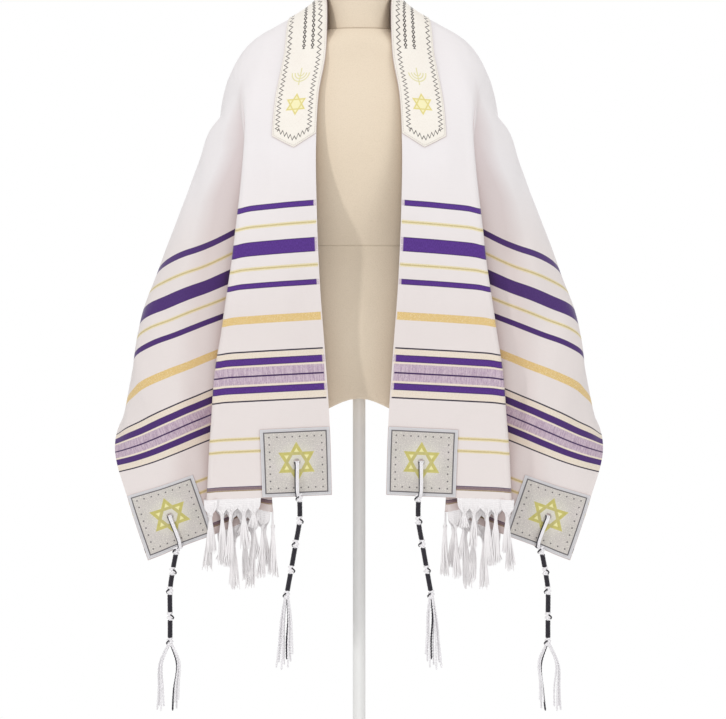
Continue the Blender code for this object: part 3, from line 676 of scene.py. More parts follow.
class Builder:
    """Collects points, faces and a UV pair for each corner of a face."""

    def __init__(self) -> None:
        self.points: list = []
        self.faces: list = []
        self.uvs: list = []

    def quad(self, corners: Sequence[int], uvs: Sequence[tuple]) -> None:
        """Adds one face."""
        self.faces.append(tuple(corners))
        self.uvs.extend(uvs)

    def shell(
        self,
        points: np.ndarray,
        normals: np.ndarray,
        uv: np.ndarray,
        below: np.ndarray | float,
        above: np.ndarray | float,
        holes: frozenset | set = frozenset(),
    ) -> None:
        """Adds a closed wall over a grid of points.

        Args:
            points: the grid of the middle surface.
            normals: its outward normals.
            uv: the grid's UV pairs.
            below: the distance of the inner side, one number or a grid of them.
            above: the distance of the outer side, likewise.
            holes: cells that are left open.
        """
        rows, columns = points.shape[:2]
        base = len(self.points)
        for offset in (below, above):
            offset = np.broadcast_to(offset, (rows, columns))
            self.points.extend((points + normals * offset[..., None]).reshape(-1, 3).tolist())
        layer = rows * columns
        cells = [(i, j) for i in range(rows - 1) for j in range(columns - 1) if (i, j) not in holes]
        present = set(cells)
        for i, j in cells:
            ring = [(i, j), (i, j + 1), (i + 1, j + 1), (i + 1, j)]
            places = [base + a * columns + b for a, b in ring]
            uvs = [tuple(uv[a][b]) for a, b in ring]
            self.quad([p + layer for p in places[::-1]], uvs[::-1])
            self.quad(places, uvs)
            beyond = [(i - 1, j), (i, j + 1), (i + 1, j), (i, j - 1)]
            for edge, cell in enumerate(beyond):
                if cell in present:
                    continue
                p, q = places[edge], places[(edge + 1) % 4]
                s, t = uvs[edge], uvs[(edge + 1) % 4]
                self.quad([p + layer, q + layer, q, p], [s, t, t, s])

    def tube(
        self, path: np.ndarray, radii: np.ndarray | float, sides: int, closed: bool = False
    ) -> None:
        """Adds a round tube along a path, its UV being the turn and the length.

        Args:
            path: the points down its middle.
            radii: one radius, or one for each point.
            sides: how many sides it has.
            closed: whether its ends meet.
        """
        path = np.asarray(path, float)
        count = len(path)
        radii = np.broadcast_to(radii, (count,))
        if closed:
            ahead = unit(np.roll(path, -1, axis=0) - np.roll(path, 1, axis=0))
        else:
            ahead = unit(np.gradient(path, axis=0))
        lengths = running_length(path)
        start = np.array([0.0, 1.0, 0.0]) if abs(ahead[0][1]) < 0.9 else np.array([1.0, 0.0, 0.0])
        normal = start
        turns = 2 * math.pi * np.arange(sides) / sides
        base = len(self.points)
        for k in range(count):
            normal = unit(normal - ahead[k] * normal.dot(ahead[k]))
            other = np.cross(ahead[k], normal)
            ring = path[k] + radii[k] * (
                np.cos(turns)[:, None] * normal + np.sin(turns)[:, None] * other
            )
            self.points.extend(ring.tolist())
        last = count if closed else count - 1
        for k in range(last):
            after = (k + 1) % count
            for s in range(sides):
                t = (s + 1) % sides
                corners = [base + k * sides + s, base + k * sides + t]
                corners += [base + after * sides + t, base + after * sides + s]
                low, high = s / sides, (s + 1) / sides
                ahead_length = lengths[after] if after else lengths[-1]
                uvs = [(low, lengths[k]), (high, lengths[k])]
                uvs += [(high, ahead_length), (low, ahead_length)]
                self.quad(corners, uvs)
        if not closed:
            for k, order in ((0, -1), (count - 1, 1)):
                corners = [base + k * sides + s for s in range(sides)][::order]
                self.quad(corners, [(s / sides, lengths[k]) for s in range(sides)])

    def loft(self, rings: np.ndarray) -> None:
        """Adds a closed solid through rings of points, given from the top down."""
        count, sides = rings.shape[:2]
        base = len(self.points)
        self.points.extend(rings.reshape(-1, 3).tolist())
        for k in range(count - 1):
            for s in range(sides):
                t = (s + 1) % sides
                corners = [base + (k + 1) * sides + s, base + (k + 1) * sides + t]
                corners += [base + k * sides + t, base + k * sides + s]
                spans = [(s, k + 1), (s + 1, k + 1), (s + 1, k), (s, k)]
                self.quad(corners, [(a / sides, b / count) for a, b in spans])
        for k, order in ((0, 1), (count - 1, -1)):
            corners = [base + k * sides + s for s in range(sides)][::order]
            self.quad(corners, [(0.0, k / count)] * sides)

    def finish(
        self, name: str, finish: bpy.types.Material, slot: str, sharp: float = 60
    ) -> bpy.types.Object:
        """Makes the object, smooth shaded, riding on the part's one body.

        Args:
            name: the piece's name.
            finish: its material.
            slot: not used.
            sharp: the angle, in degrees, beyond which an edge stays sharp.

        Returns:
            The object.
        """
        mesh = bpy.data.meshes.new(name)
        mesh.from_pydata(self.points, [], self.faces)
        layer = mesh.uv_layers.new(name="cloth")
        layer.data.foreach_set("uv", np.array(self.uvs, np.float32).ravel())
        mesh.shade_smooth()
        mesh.set_sharp_from_angle(angle=math.radians(sharp))
        mesh.materials.append(finish)
        obj = bpy.data.objects.new(name, mesh)
        bpy.context.scene.collection.objects.link(obj)
        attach(obj, BODY)
        LOG.info("%s: %d faces", name, len(self.faces))
        return obj


# Node graphs

Socket = bpy.types.NodeSocket
Value = Union[Socket, float, tuple]


class Graph:
    """Short calls that build a node tree."""

    def __init__(self, tree: bpy.types.NodeTree) -> None:
        self.tree = tree

    def feed(self, socket: Socket, value: Value) -> None:
        """Links a socket to the input, or sets it to a value."""
        if isinstance(value, bpy.types.NodeSocket):
            self.tree.links.new(value, socket)
        else:
            socket.default_value = value

    def add(self, kind: str, inputs: dict | None = None, **settings: object) -> bpy.types.Node:
        """Adds a node.

        Args:
            kind: the node's type.
            inputs: what its inputs are fed, by name.
            settings: the node's own settings.

        Returns:
            The node.
        """
        node = self.tree.nodes.new(kind)
        for name, value in settings.items():
            setattr(node, name, value)
        for name, value in (inputs or {}).items():
            self.feed(node.inputs[name], value)
        return node

    def math(self, operation: str, *values: Value, clamp: bool = False) -> Socket:
        """One arithmetic step."""
        node = self.add("ShaderNodeMath", operation=operation, use_clamp=clamp)
        for socket, value in zip(node.inputs, values):
            self.feed(socket, value)
        return node.outputs[0]

    def mix(self, share: Value, first: Value, second: Value, blend: str = "MIX") -> Socket:
        """One colour mixed with another."""
        node = self.add("ShaderNodeMix", data_type="RGBA", blend_type=blend)
        self.feed(node.inputs[0], share)
        self.feed(node.inputs[6], first)
        self.feed(node.inputs[7], second)
        return node.outputs[2]

    def line(self, value: Value, half_width: float, softness: float) -> Socket:
        """1 where the value is within half_width of 0, with soft edges."""
        inside = self.math("SUBTRACT", half_width, self.math("ABSOLUTE", value))
        return self.math("ADD", self.math("DIVIDE", inside, softness), 0.5, clamp=True)

    def above(self, value: Value, level: float, softness: float) -> Socket:
        """1 where the value is over the level, with a soft edge."""
        over = self.math("SUBTRACT", value, level)
        return self.math("ADD", self.math("DIVIDE", over, softness), 0.5, clamp=True)

    def noise(self, vector: Socket, scale: float, detail: float) -> Socket:
        """Soft noise from 0 to 1."""
        inputs = {"Vector": vector, "Scale": scale, "Detail": detail, "Roughness": 0.5}
        return self.add("ShaderNodeTexNoise", inputs).outputs["Fac"]

    def uv(self) -> tuple[Socket, Socket, Socket]:
        """The cloth's UV map, as one vector and as its two numbers."""
        vector = self.add("ShaderNodeUVMap", uv_map="cloth").outputs["UV"]
        parts = self.add("ShaderNodeSeparateXYZ", {"Vector": vector})
        return vector, parts.outputs["X"], parts.outputs["Y"]

    def scaled(self, x: Socket, y: Socket, x_scale: float, y_scale: float) -> Socket:
        """A vector from two numbers, each scaled."""
        inputs = {"X": self.math("MULTIPLY", x, x_scale), "Y": self.math("MULTIPLY", y, y_scale)}
        return self.add("ShaderNodeCombineXYZ", inputs).outputs["Vector"]

    def group(self, name: str, **inputs: Value) -> bpy.types.NodeOutputs:
        """Uses one of the shared effects.

        Args:
            name: the effect's name.
            inputs: what its inputs are fed, with _ for each space.

        Returns:
            Its outputs.
        """
        node = self.add("ShaderNodeGroup", node_tree=bpy.data.node_groups[name])
        for key, value in inputs.items():
            self.feed(node.inputs[key.replace("_", " ")], value)
        return node.outputs


def new_group(
    name: str, inputs: Sequence[str], outputs: Sequence[str]
) -> tuple[Graph, dict, bpy.types.Node]:
    """Starts a shared effect with number sockets.

    Args:
        name: the effect's name.
        inputs: the names of its inputs.
        outputs: the names of its outputs.

    Returns:
        The graph, the input sockets by name, and the output node.
    """
    tree = bpy.data.node_groups.new(name, "ShaderNodeTree")
    for key in inputs:
        tree.interface.new_socket(key, in_out="INPUT", socket_type="NodeSocketFloat")
    for key in outputs:
        tree.interface.new_socket(key, in_out="OUTPUT", socket_type="NodeSocketFloat")
    graph = Graph(tree)
    source = graph.add("NodeGroupInput")
    return graph, {key: source.outputs[key] for key in inputs}, graph.add("NodeGroupOutput")


def stripe_group() -> None:
    """A woven stripe's mask, with slightly soft edges and an end near the selvedge."""
    names = ["Along", "Across", "Middle", "Half Width", "Starts"]
    g, i, out = new_group("Stripe", names, ["Mask"])
    away = g.math("ABSOLUTE", g.math("SUBTRACT", i["Along"], i["Middle"]))
    inside = g.math("SUBTRACT", i["Half Width"], away)
    side = g.math("ADD", g.math("DIVIDE", inside, 0.7 * MM), 0.5, clamp=True)
    begun = g.math("DIVIDE", g.math("SUBTRACT", i["Across"], i["Starts"]), 1.6 * MM, clamp=True)
    g.feed(out.inputs["Mask"], g.math("MULTIPLY", side, begun))


def weave_group() -> None:
    """A plain weave's height, from 0 to 1, as crossing yarns of the given pitch."""
    g, i, out = new_group("Weave", ["Across", "Along", "Pitch"], ["Height"])

    def wave(value: Socket) -> Socket:
        """One set of yarns, as a wave."""
        turn = g.math("MULTIPLY", g.math("DIVIDE", value, i["Pitch"]), 2 * math.pi)
        return g.math("SINE", turn)

    both = g.math("MULTIPLY", wave(i["Across"]), wave(i["Along"]))
    g.feed(out.inputs["Height"], g.math("MULTIPLY_ADD", both, 0.5, 0.5))


def hexagram_group() -> None:
    """A six-pointed star of two outlined triangles: its lines, its points and its middle."""
    g, i, out = new_group("Hexagram", ["X", "Y", "Radius", "Line"], ["Lines", "Points", "Middle"])
    half = g.math("MULTIPLY", i["Radius"], 0.5)
    slant = g.math("MULTIPLY", g.math("ABSOLUTE", i["X"]), math.cos(math.pi / 6))

    def triangle(y: Socket) -> Socket:
        """How far a place lies outside one of the triangles."""
        leg = g.math("ADD", slant, g.math("MULTIPLY", y, 0.5))
        foot = g.math("MULTIPLY", y, -1.0)
        return g.math("SUBTRACT", g.math("MAXIMUM", leg, foot), half)

    up, down = triangle(i["Y"]), triangle(g.math("MULTIPLY", i["Y"], -1.0))

    def outline(shape: Socket) -> Socket:
        """The line just inside a shape's edge."""
        centred = g.math("ADD", shape, g.math("MULTIPLY", i["Line"], 0.5))
        inside = g.math("SUBTRACT", g.math("MULTIPLY", i["Line"], 0.5), g.math("ABSOLUTE", centred))
        return g.math("ADD", g.math("DIVIDE", inside, 0.8 * MM), 0.5, clamp=True)

    def filled(shape: Socket) -> Socket:
        """The inside of a shape."""
        return g.math("ADD", g.math("DIVIDE", shape, -0.8 * MM), 0.5, clamp=True)

    g.feed(out.inputs["Lines"], g.math("MAXIMUM", outline(up), outline(down)))
    middle = filled(g.math("MAXIMUM", up, down))
    whole = filled(g.math("MINIMUM", up, down))
    g.feed(out.inputs["Middle"], middle)
    g.feed(out.inputs["Points"], g.math("SUBTRACT", whole, middle, clamp=True))


def zigzag_group() -> None:
    """A zigzag line: Run is the way along it, and Off the distance from its middle."""
    g, i, out = new_group("Zigzag", ["Run", "Off", "Pitch", "Swing", "Line"], ["Mask"])
    back_and_forth = g.math("PINGPONG", i["Run"], g.math("MULTIPLY", i["Pitch"], 0.5))
    quarters = g.math("DIVIDE", back_and_forth, g.math("MULTIPLY", i["Pitch"], 0.25))
    share = g.math("SUBTRACT", quarters, 1.0)
    away = g.math("SUBTRACT", i["Off"], g.math("MULTIPLY", share, i["Swing"]))
    inside = g.math("SUBTRACT", g.math("MULTIPLY", i["Line"], 0.5), g.math("ABSOLUTE", away))
    g.feed(out.inputs["Mask"], g.math("ADD", g.math("DIVIDE", inside, 0.6 * MM), 0.5, clamp=True))


def twist_group() -> None:
    """The height of a twisted yarn's plies on a tube's own UV."""
    g, i, out = new_group("Twist", ["Turn", "Length", "Pitch", "Plies"], ["Height"])
    run = g.math("ADD", i["Turn"], g.math("DIVIDE", i["Length"], i["Pitch"]))
    phase = g.math("MULTIPLY", g.math("MULTIPLY", run, i["Plies"]), 2 * math.pi)
    g.feed(out.inputs["Height"], g.math("MULTIPLY_ADD", g.math("SINE", phase), 0.5, 0.5))


def shade_group() -> None:
    """The mask of painted shade: how deep a place lies in a fold or close behind another piece, from 0 to
    1.
    """
    g, i, out = new_group("Shade", ["Distance", "Strength"], ["Mask"])
    node = g.add("ShaderNodeAmbientOcclusion", {"Distance": i["Distance"]}, samples=6)
    closed = g.math("SUBTRACT", 1.0, node.outputs["AO"])
    g.feed(out.inputs["Mask"], g.math("MULTIPLY", closed, i["Strength"], clamp=True))


def shared_groups() -> None:
    """Makes every shared effect."""
    for make in (stripe_group, weave_group, hexagram_group, zigzag_group, twist_group, shade_group):
        make()


@dataclass(frozen=True)
class Finish:
    """A material's constants: what is the same all over it."""

    name: str
    roughness: float
    sheen: float = 0.0
    bump: float = 0.3
    bump_distance: float = 0.4 * MM
    specular: float = 0.3

    def start(self) -> tuple[bpy.types.Material, Graph, bpy.types.Node]:
        """A new material with its Principled shader set.

        Returns:
            The material, its graph and the shader node.
        """
        made = bpy.data.materials.new(self.name)
        made.use_nodes = True
        shader = made.node_tree.nodes["Principled BSDF"]
        shader.inputs["Roughness"].default_value = self.roughness
        shader.inputs["Sheen Weight"].default_value = self.sheen
        shader.inputs["Sheen Roughness"].default_value = 0.5
        shader.inputs["Metallic"].default_value = 0.0
        shader.inputs["Specular IOR Level"].default_value = self.specular
        return made, Graph(made.node_tree), shader

    def close(self, graph: Graph, shader: bpy.types.Node, colour: Socket, height: Socket) -> None:
        """Links the colour and the bump's height."""
        graph.feed(shader.inputs["Base Color"], colour)
        inputs = {"Strength": self.bump, "Distance": self.bump_distance, "Height": height}
        graph.feed(shader.inputs["Normal"], graph.add("ShaderNodeBump", inputs).outputs["Normal"])


class YarnMasks(NamedTuple):
    """The masks of uneven yarns that the stripes share."""

    spark: Socket
    streak: Socket
    ticks: Socket
    grit: Socket


@dataclass(frozen=True)
class ClothFinish(Finish):
    """White cloth with its woven stripes, with painted shade in the folds, beside the fold and on the outer
    panel, and darker and warmer lower down.
    """

    name: str = "woven_cloth"
    roughness: float = 0.82
    sheen: float = 0.34
    bump: float = 0.35
    yarn_pitch: float = 1.7 * MM
    rib_pitch: float = 1.1 * MM
    fold_across: float = 122 * MM
    fold_slant: float = 0.5
    fold_offset: float = -40 * MM
    fringed_ends: float = 0.2 * MM
    shade_reach: float = 120 * MM
    shade_strength: float = 3.2
    shade_tint: tuple = (0.80, 0.72, 0.71, 1)
    # The tint of the painted shade on the outer panel, and of the darker, warmer colour lower down.
    outer_shade_and_lower_tint: tuple = (0.925, 0.885, 0.855, 1)

    def ground(self, g: Graph, vector: Socket, across: Socket, signed: Socket) -> Socket:
        """The white yarns' colour, with warmer clouds and greyer slubs."""
        clouds = g.math("MULTIPLY", g.noise(vector, 14, 3.0), 0.6)
        colour = g.mix(clouds, Dye.WHITE.value, (0.785, 0.745, 0.745, 1))
        slub = g.above(g.noise(g.scaled(across, signed, 60, 1400), 1.0, 2.0), 0.63, 0.08)
        return g.mix(g.math("MULTIPLY", slub, 0.12), colour, (0.68, 0.65, 0.67, 1))

    def uneven(self, g: Graph, across: Socket, signed: Socket) -> YarnMasks:
        """The masks that break up the stripes' colours."""
        inputs = {"Vector": g.scaled(across, signed, 1, 1), "Scale": 520.0}
        speck = g.add("ShaderNodeTexVoronoi", inputs).outputs["Distance"]
        return YarnMasks(
            spark=g.math("LESS_THAN", speck, 0.32),
            streak=g.above(g.noise(g.scaled(across, signed, 1500, 260), 1.0, 1.0), 0.5, 0.12),
            ticks=g.above(g.noise(g.scaled(across, signed, 480, 46), 1.0, 1.0), 0.5, 0.16),
            grit=g.above(g.noise(g.scaled(across, signed, 640, 640), 1.0, 1.0), 0.54, 0.12),
        )

    def stripe_mask(self, g: Graph, stripe: Stripe, along: Socket, across: Socket, starts: float) -> Socket:
        """Where one stripe lies, from so far beyond the inner selvedge."""
        return g.group(
            "Stripe",
            Along=along,
            Across=across,
            Middle=stripe.along * MM,
            Half_Width=stripe.width / 2 * MM,
            Starts=starts,
        )["Mask"]

    def dyed(self, g: Graph, stripe: Stripe, masks: YarnMasks) -> Socket:
        """One stripe's colour, broken up by its yarns."""
        dyed = stripe.dye.value
        if stripe.dye is Dye.LILAC:
            dyed = g.mix(g.math("MULTIPLY", masks.ticks, 0.6), dyed, (0.70, 0.60, 0.70, 1))
            dyed = g.mix(g.math("MULTIPLY", masks.streak, 0.35), dyed, (0.74, 0.67, 0.72, 1))
            return g.mix(g.math("MULTIPLY", masks.spark, 0.35), dyed, (0.27, 0.17, 0.42, 1))
        if stripe.speckle:
            dyed = g.mix(g.math("MULTIPLY", masks.spark, stripe.speckle), dyed, (0.92, 0.84, 0.60, 1))
            dark = g.math("MULTIPLY", masks.grit, 0.9 * stripe.speckle)
            return g.mix(dark, dyed, (0.60, 0.42, 0.17, 1))
        lit = tuple(min(1.0, c * 1.7 + 0.01) for c in dyed[:3]) + (1,)
        return g.mix(g.math("MULTIPLY", masks.streak, 0.35), dyed, lit)

    def deepened(self, g: Graph, stripe: Stripe, dyed: Socket, along: Socket, purple_shade: Socket) -> Socket:
        """A purple stripe with dark edges, darkened toward deep purple by painted shade in the folds and on
        the outer panel.
        """
        away = g.math("ABSOLUTE", g.math("SUBTRACT", along, stripe.along * MM))
        rim = g.above(away, (stripe.width / 2 - 1.1) * MM, 1.0 * MM)
        share = g.math("MAXIMUM", g.math("MULTIPLY", rim, 0.8), purple_shade)
        return g.mix(share, dyed, Dye.DEEP.value)

    def with_painted_shade(self, g: Graph, colour: Socket, shade: Socket, along: Socket, past_fold: Socket) -> Socket:
        """The colour with painted shade in the folds, in a band beside the fold and on the outer panel, and
        darker and warmer lower down.
        """
        outer_panel = g.above(past_fold, 4 * MM, 14 * MM)
        spread = g.math("MULTIPLY", g.math("SUBTRACT", along, 240 * MM), 0.46)
        beyond = g.math("SUBTRACT", past_fold, g.math("MINIMUM", spread, 66 * MM))
        # Painted shade: a band on the outer panel just past the fold, starting below the shoulder and
        # weaker low down.
        painted_hollow_shade = g.math("SUBTRACT", outer_panel, g.above(beyond, 0.0, 34 * MM), clamp=True)
        painted_hollow_shade = g.math("MULTIPLY", painted_hollow_shade, g.above(along, 215 * MM, 90 * MM))
        depth = g.math("SUBTRACT", 0.78, g.math("MULTIPLY", g.above(along, 430 * MM, 120 * MM), 0.30))
        shade = g.math("MAXIMUM", shade, g.math("MULTIPLY", painted_hollow_shade, depth))
        colour = g.mix(shade, colour, self.shade_tint, "MULTIPLY")
        # Painted shade on the outer panel low down, and a darker, warmer colour lower down on the whole
        # cloth.
        painted_outer_shade = g.math("MULTIPLY", outer_panel, g.above(along, 400 * MM, 110 * MM))
        lower_and_outer_shade_mask = g.math("MAXIMUM", painted_outer_shade, g.above(along, 490 * MM, 270 * MM))
        return g.mix(lower_and_outer_shade_mask, colour, self.outer_shade_and_lower_tint, "MULTIPLY")

    def relief(self, g: Graph, vector: Socket, across: Socket, signed: Socket, raised: Socket) -> Socket:
        """The height of the weave, of the stripes' ribs and of the fibres."""
        weave = g.group("Weave", Across=across, Along=signed, Pitch=self.yarn_pitch)["Height"]
        ribs = g.math("SINE", g.math("MULTIPLY", signed, 2 * math.pi / self.rib_pitch))
        ribs = g.math("MULTIPLY", g.math("MULTIPLY_ADD", ribs, 0.5, 0.5), raised)
        height = g.math("ADD", g.math("MULTIPLY", weave, 0.5), g.math("MULTIPLY", ribs, 0.5))
        height = g.math("MULTIPLY_ADD", raised, 0.5, height)
        return g.math("MULTIPLY_ADD", g.noise(vector, 420, 2.0), 0.5, height)

    def make(self) -> bpy.types.Material:
        """Builds the material, each later stripe over the earlier ones."""
        made, g, shader = self.start()
        vector, across, signed = g.uv()
        along = g.math("ABSOLUTE", signed)
        jitter = g.math("SUBTRACT", g.noise(g.scaled(across, signed, 900, 30), 1.0, 2.0), 0.5)
        along = g.math("MULTIPLY_ADD", jitter, 0.5 * MM, along)
        colour = self.ground(g, vector, across, signed)
        masks = self.uneven(g, across, signed)
        shade = g.group("Shade", Distance=self.shade_reach, Strength=self.shade_strength)["Mask"]
        slanted = g.math("MULTIPLY_ADD", along, self.fold_slant, self.fold_offset)
        past_fold = g.math("SUBTRACT", across, g.math("MAXIMUM", slanted, self.fold_across))
        # Painted shade on the purple: darker on the outer panel past the fold, and where the shade mask is
        # high.
        outer_panel_shade = g.math("MULTIPLY", g.above(past_fold, 0.0, 30 * MM), 0.44)
        purple_shade = g.math("MAXIMUM", shade, outer_panel_shade)
        raised = 0.0
        for stripe in STRIPES:
            dyed = self.dyed(g, stripe, masks)
            if stripe.dye is Dye.PURPLE:
                dyed = self.deepened(g, stripe, dyed, along, purple_shade)
                fuzz = self.stripe_mask(g, stripe, along, across, self.fringed_ends)
                ends = g.mix(masks.spark, Dye.LILAC.value, Dye.WHITE.value)
                colour = g.mix(g.math("MULTIPLY", fuzz, 0.6), colour, ends)
            mask = self.stripe_mask(g, stripe, along, across, stripe.starts * MM)
            colour = g.mix(mask, colour, dyed)
            raised = g.math("MAXIMUM", raised, mask)
        colour = self.with_painted_shade(g, colour, shade, along, past_fold)
        self.close(g, shader, colour, self.relief(g, vector, across, signed, raised))
        return made


@dataclass(frozen=True)
class BandFinish(Finish):
    """Cream band: a dark zigzag border, a star, a branched motif and two chains of lozenges."""

    name: str = "neckband_weave"
    roughness: float = 0.6
    sheen: float = 0.1
    bump: float = 0.4
    inner_border: float = 11 * MM
    outer_border: float = 8 * MM
    tip_border: float = 11.5 * MM
    zigzag_pitch: float = 7.2 * MM
    zigzag_swing: float = 3.2 * MM
    zigzag_line: float = 2.1 * MM
    tip_stretch: float = 1.15
    star_along: float = 287 * MM
    star_radius: float = 18 * MM
    star_line: float = 2.2 * MM
    lamp_along: float = 236 * MM
    lamp_arms: tuple = (5 * MM, 9.5 * MM, 14 * MM)
    lamp_line: float = 0.9 * MM
    chain_ends: float = 200 * MM
    chain_places: tuple = (22.5 * MM, 37 * MM)
    chain_pitch: float = 11 * MM
    lozenge: float = 3.3 * MM
    lozenge_eye: float = 1.2 * MM
    yarn_pitch: float = 1.2 * MM

    def ground(self, g: Graph, vector: Socket, across: Socket, signed: Socket) -> Socket:
        """The cream yarns' colour."""
        colour = g.mix(g.noise(vector, 30, 3.0), (0.86, 0.80, 0.73, 1), (0.90, 0.865, 0.80, 1))
        lit = g.above(g.noise(g.scaled(across, signed, 1500, 300), 1.0, 2.0), 0.55, 0.1)
        return g.mix(g.math("MULTIPLY", lit, 0.22), colour, (0.70, 0.64, 0.54, 1))

    def to_tip(self, g: Graph, along: Socket, across: Socket) -> Socket:
        """The distance to the slanting edges of the pointed end."""
        share = g.math("SUBTRACT", g.math("MULTIPLY", across, 2 / BAND_WIDTH), 1.0)
        rise = g.math("SUBTRACT", 1.0, g.math("ABSOLUTE", share))
        tip = g.math("MULTIPLY_ADD", rise, BAND_POINT, BAND_HALF + BAND_TIP_EDGE)
        slope = math.cos(math.atan(2 * BAND_POINT / BAND_WIDTH))
        return g.math("MULTIPLY", g.math("SUBTRACT", tip, along), slope)

    def borders(self, g: Graph, along: Socket, across: Socket) -> Socket:
        """The zigzag lines along both edges and round the point."""
        from_inner = g.math("SUBTRACT", across, self.inner_border)
        from_outer = g.math("SUBTRACT", BAND_WIDTH - self.outer_border, across)
        from_tip = g.math("SUBTRACT", self.to_tip(g, along, across), self.tip_border)
        before_tip = g.above(from_tip, 0.0, 0.4 * MM)
        past_inner = g.above(from_inner, 0.0, 0.4 * MM)
        between = g.math("MULTIPLY", past_inner, g.above(from_outer, 0.0, 0.4 * MM))
        dark = 0.0
        for off, run, within in (
            (from_inner, along, before_tip),
            (from_outer, along, before_tip),
            (from_tip, g.math("MULTIPLY", across, self.tip_stretch), between),
        ):
            line = g.group(
                "Zigzag",
                Run=run,
                Off=off,
                Pitch=self.zigzag_pitch,
                Swing=self.zigzag_swing,
                Line=self.zigzag_line,
            )["Mask"]
            dark = g.math("MAXIMUM", dark, g.math("MULTIPLY", line, within))
        return dark

    def chains(self, g: Graph, along: Socket, across: Socket, dark: Socket) -> Socket:
        """The two chains of lozenges, joined to the dark lines."""
        in_chain = g.math("SUBTRACT", 1.0, g.above(along, self.chain_ends, 0.4 * MM))
        half = self.chain_pitch / 2
        for k, place in enumerate(self.chain_places):
            shifted = g.math("ADD", along, k * half)
            run = g.math("SUBTRACT", g.math("PINGPONG", shifted, half), half / 2)
            reach = g.math("ABSOLUTE", g.math("SUBTRACT", across, place))
            size = g.math("ADD", g.math("ABSOLUTE", run), reach)
            lozenge = g.math("SUBTRACT", 1.0, g.above(size, self.lozenge, 0.6 * MM))
            eye = g.math("SUBTRACT", 1.0, g.above(size, self.lozenge_eye, 0.5 * MM))
            chain = g.math("MULTIPLY", g.math("SUBTRACT", lozenge, eye, clamp=True), in_chain)
            dark = g.math("MAXIMUM", dark, chain)
        return dark

    def lamp(self, g: Graph, along: Socket, off_centre: Socket) -> Socket:
        """The branched motif: a stem, and half rings for its arms."""
        height_at = g.math("SUBTRACT", self.lamp_along, along)
        square = g.math("ADD", g.math("POWER", off_centre, 2.0), g.math("POWER", height_at, 2.0))
        distance = g.math("SQRT", square)
        below = g.math("SUBTRACT", 1.0, g.above(height_at, 0.0, 0.5 * MM))
        stem_span = g.line(g.math("ADD", height_at, 6 * MM), 14 * MM, 0.5 * MM)
        motif = g.math("MULTIPLY", g.line(off_centre, self.lamp_line, 0.6 * MM), stem_span)
        for arm in self.lamp_arms:
            ring = g.line(g.math("SUBTRACT", distance, arm), self.lamp_line, 0.6 * MM)
            motif = g.math("MAXIMUM", motif, g.math("MULTIPLY", ring, below))
        return motif

    def make(self) -> bpy.types.Material:
        """Builds the material."""
        made, g, shader = self.start()
        vector, across, signed = g.uv()
        along = g.math("ABSOLUTE", signed)
        off_centre = g.math("SUBTRACT", across, BAND_WIDTH / 2)
        colour = self.ground(g, vector, across, signed)
        dark = self.chains(g, along, across, self.borders(g, along, across))
        rise = g.math("SUBTRACT", self.star_along, along)
        star = g.group("Hexagram", X=off_centre, Y=rise, Radius=self.star_radius, Line=self.star_line)
        fill = g.math("MAXIMUM", star["Points"], star["Middle"])
        colour = g.mix(g.math("MULTIPLY", fill, 0.8), colour, (0.88, 0.82, 0.42, 1))
        colour = g.mix(g.math("MULTIPLY", star["Lines"], 0.85), colour, (0.70, 0.60, 0.19, 1))
        motif = self.lamp(g, along, off_centre)
        colour = g.mix(g.math("MULTIPLY", motif, 0.8), colour, (0.68, 0.64, 0.27, 1))
        colour = g.mix(g.math("MULTIPLY", dark, 0.95), colour, (0.030, 0.021, 0.022, 1))
        weave = g.group("Weave", Across=across, Along=signed, Pitch=self.yarn_pitch)["Height"]
        raised = g.math("MAXIMUM", dark, g.math("MAXIMUM", star["Lines"], motif))
        height = g.math("MULTIPLY_ADD", raised, 0.9, g.math("MULTIPLY", weave, 0.6))
        self.close(g, shader, colour, height)
        return made


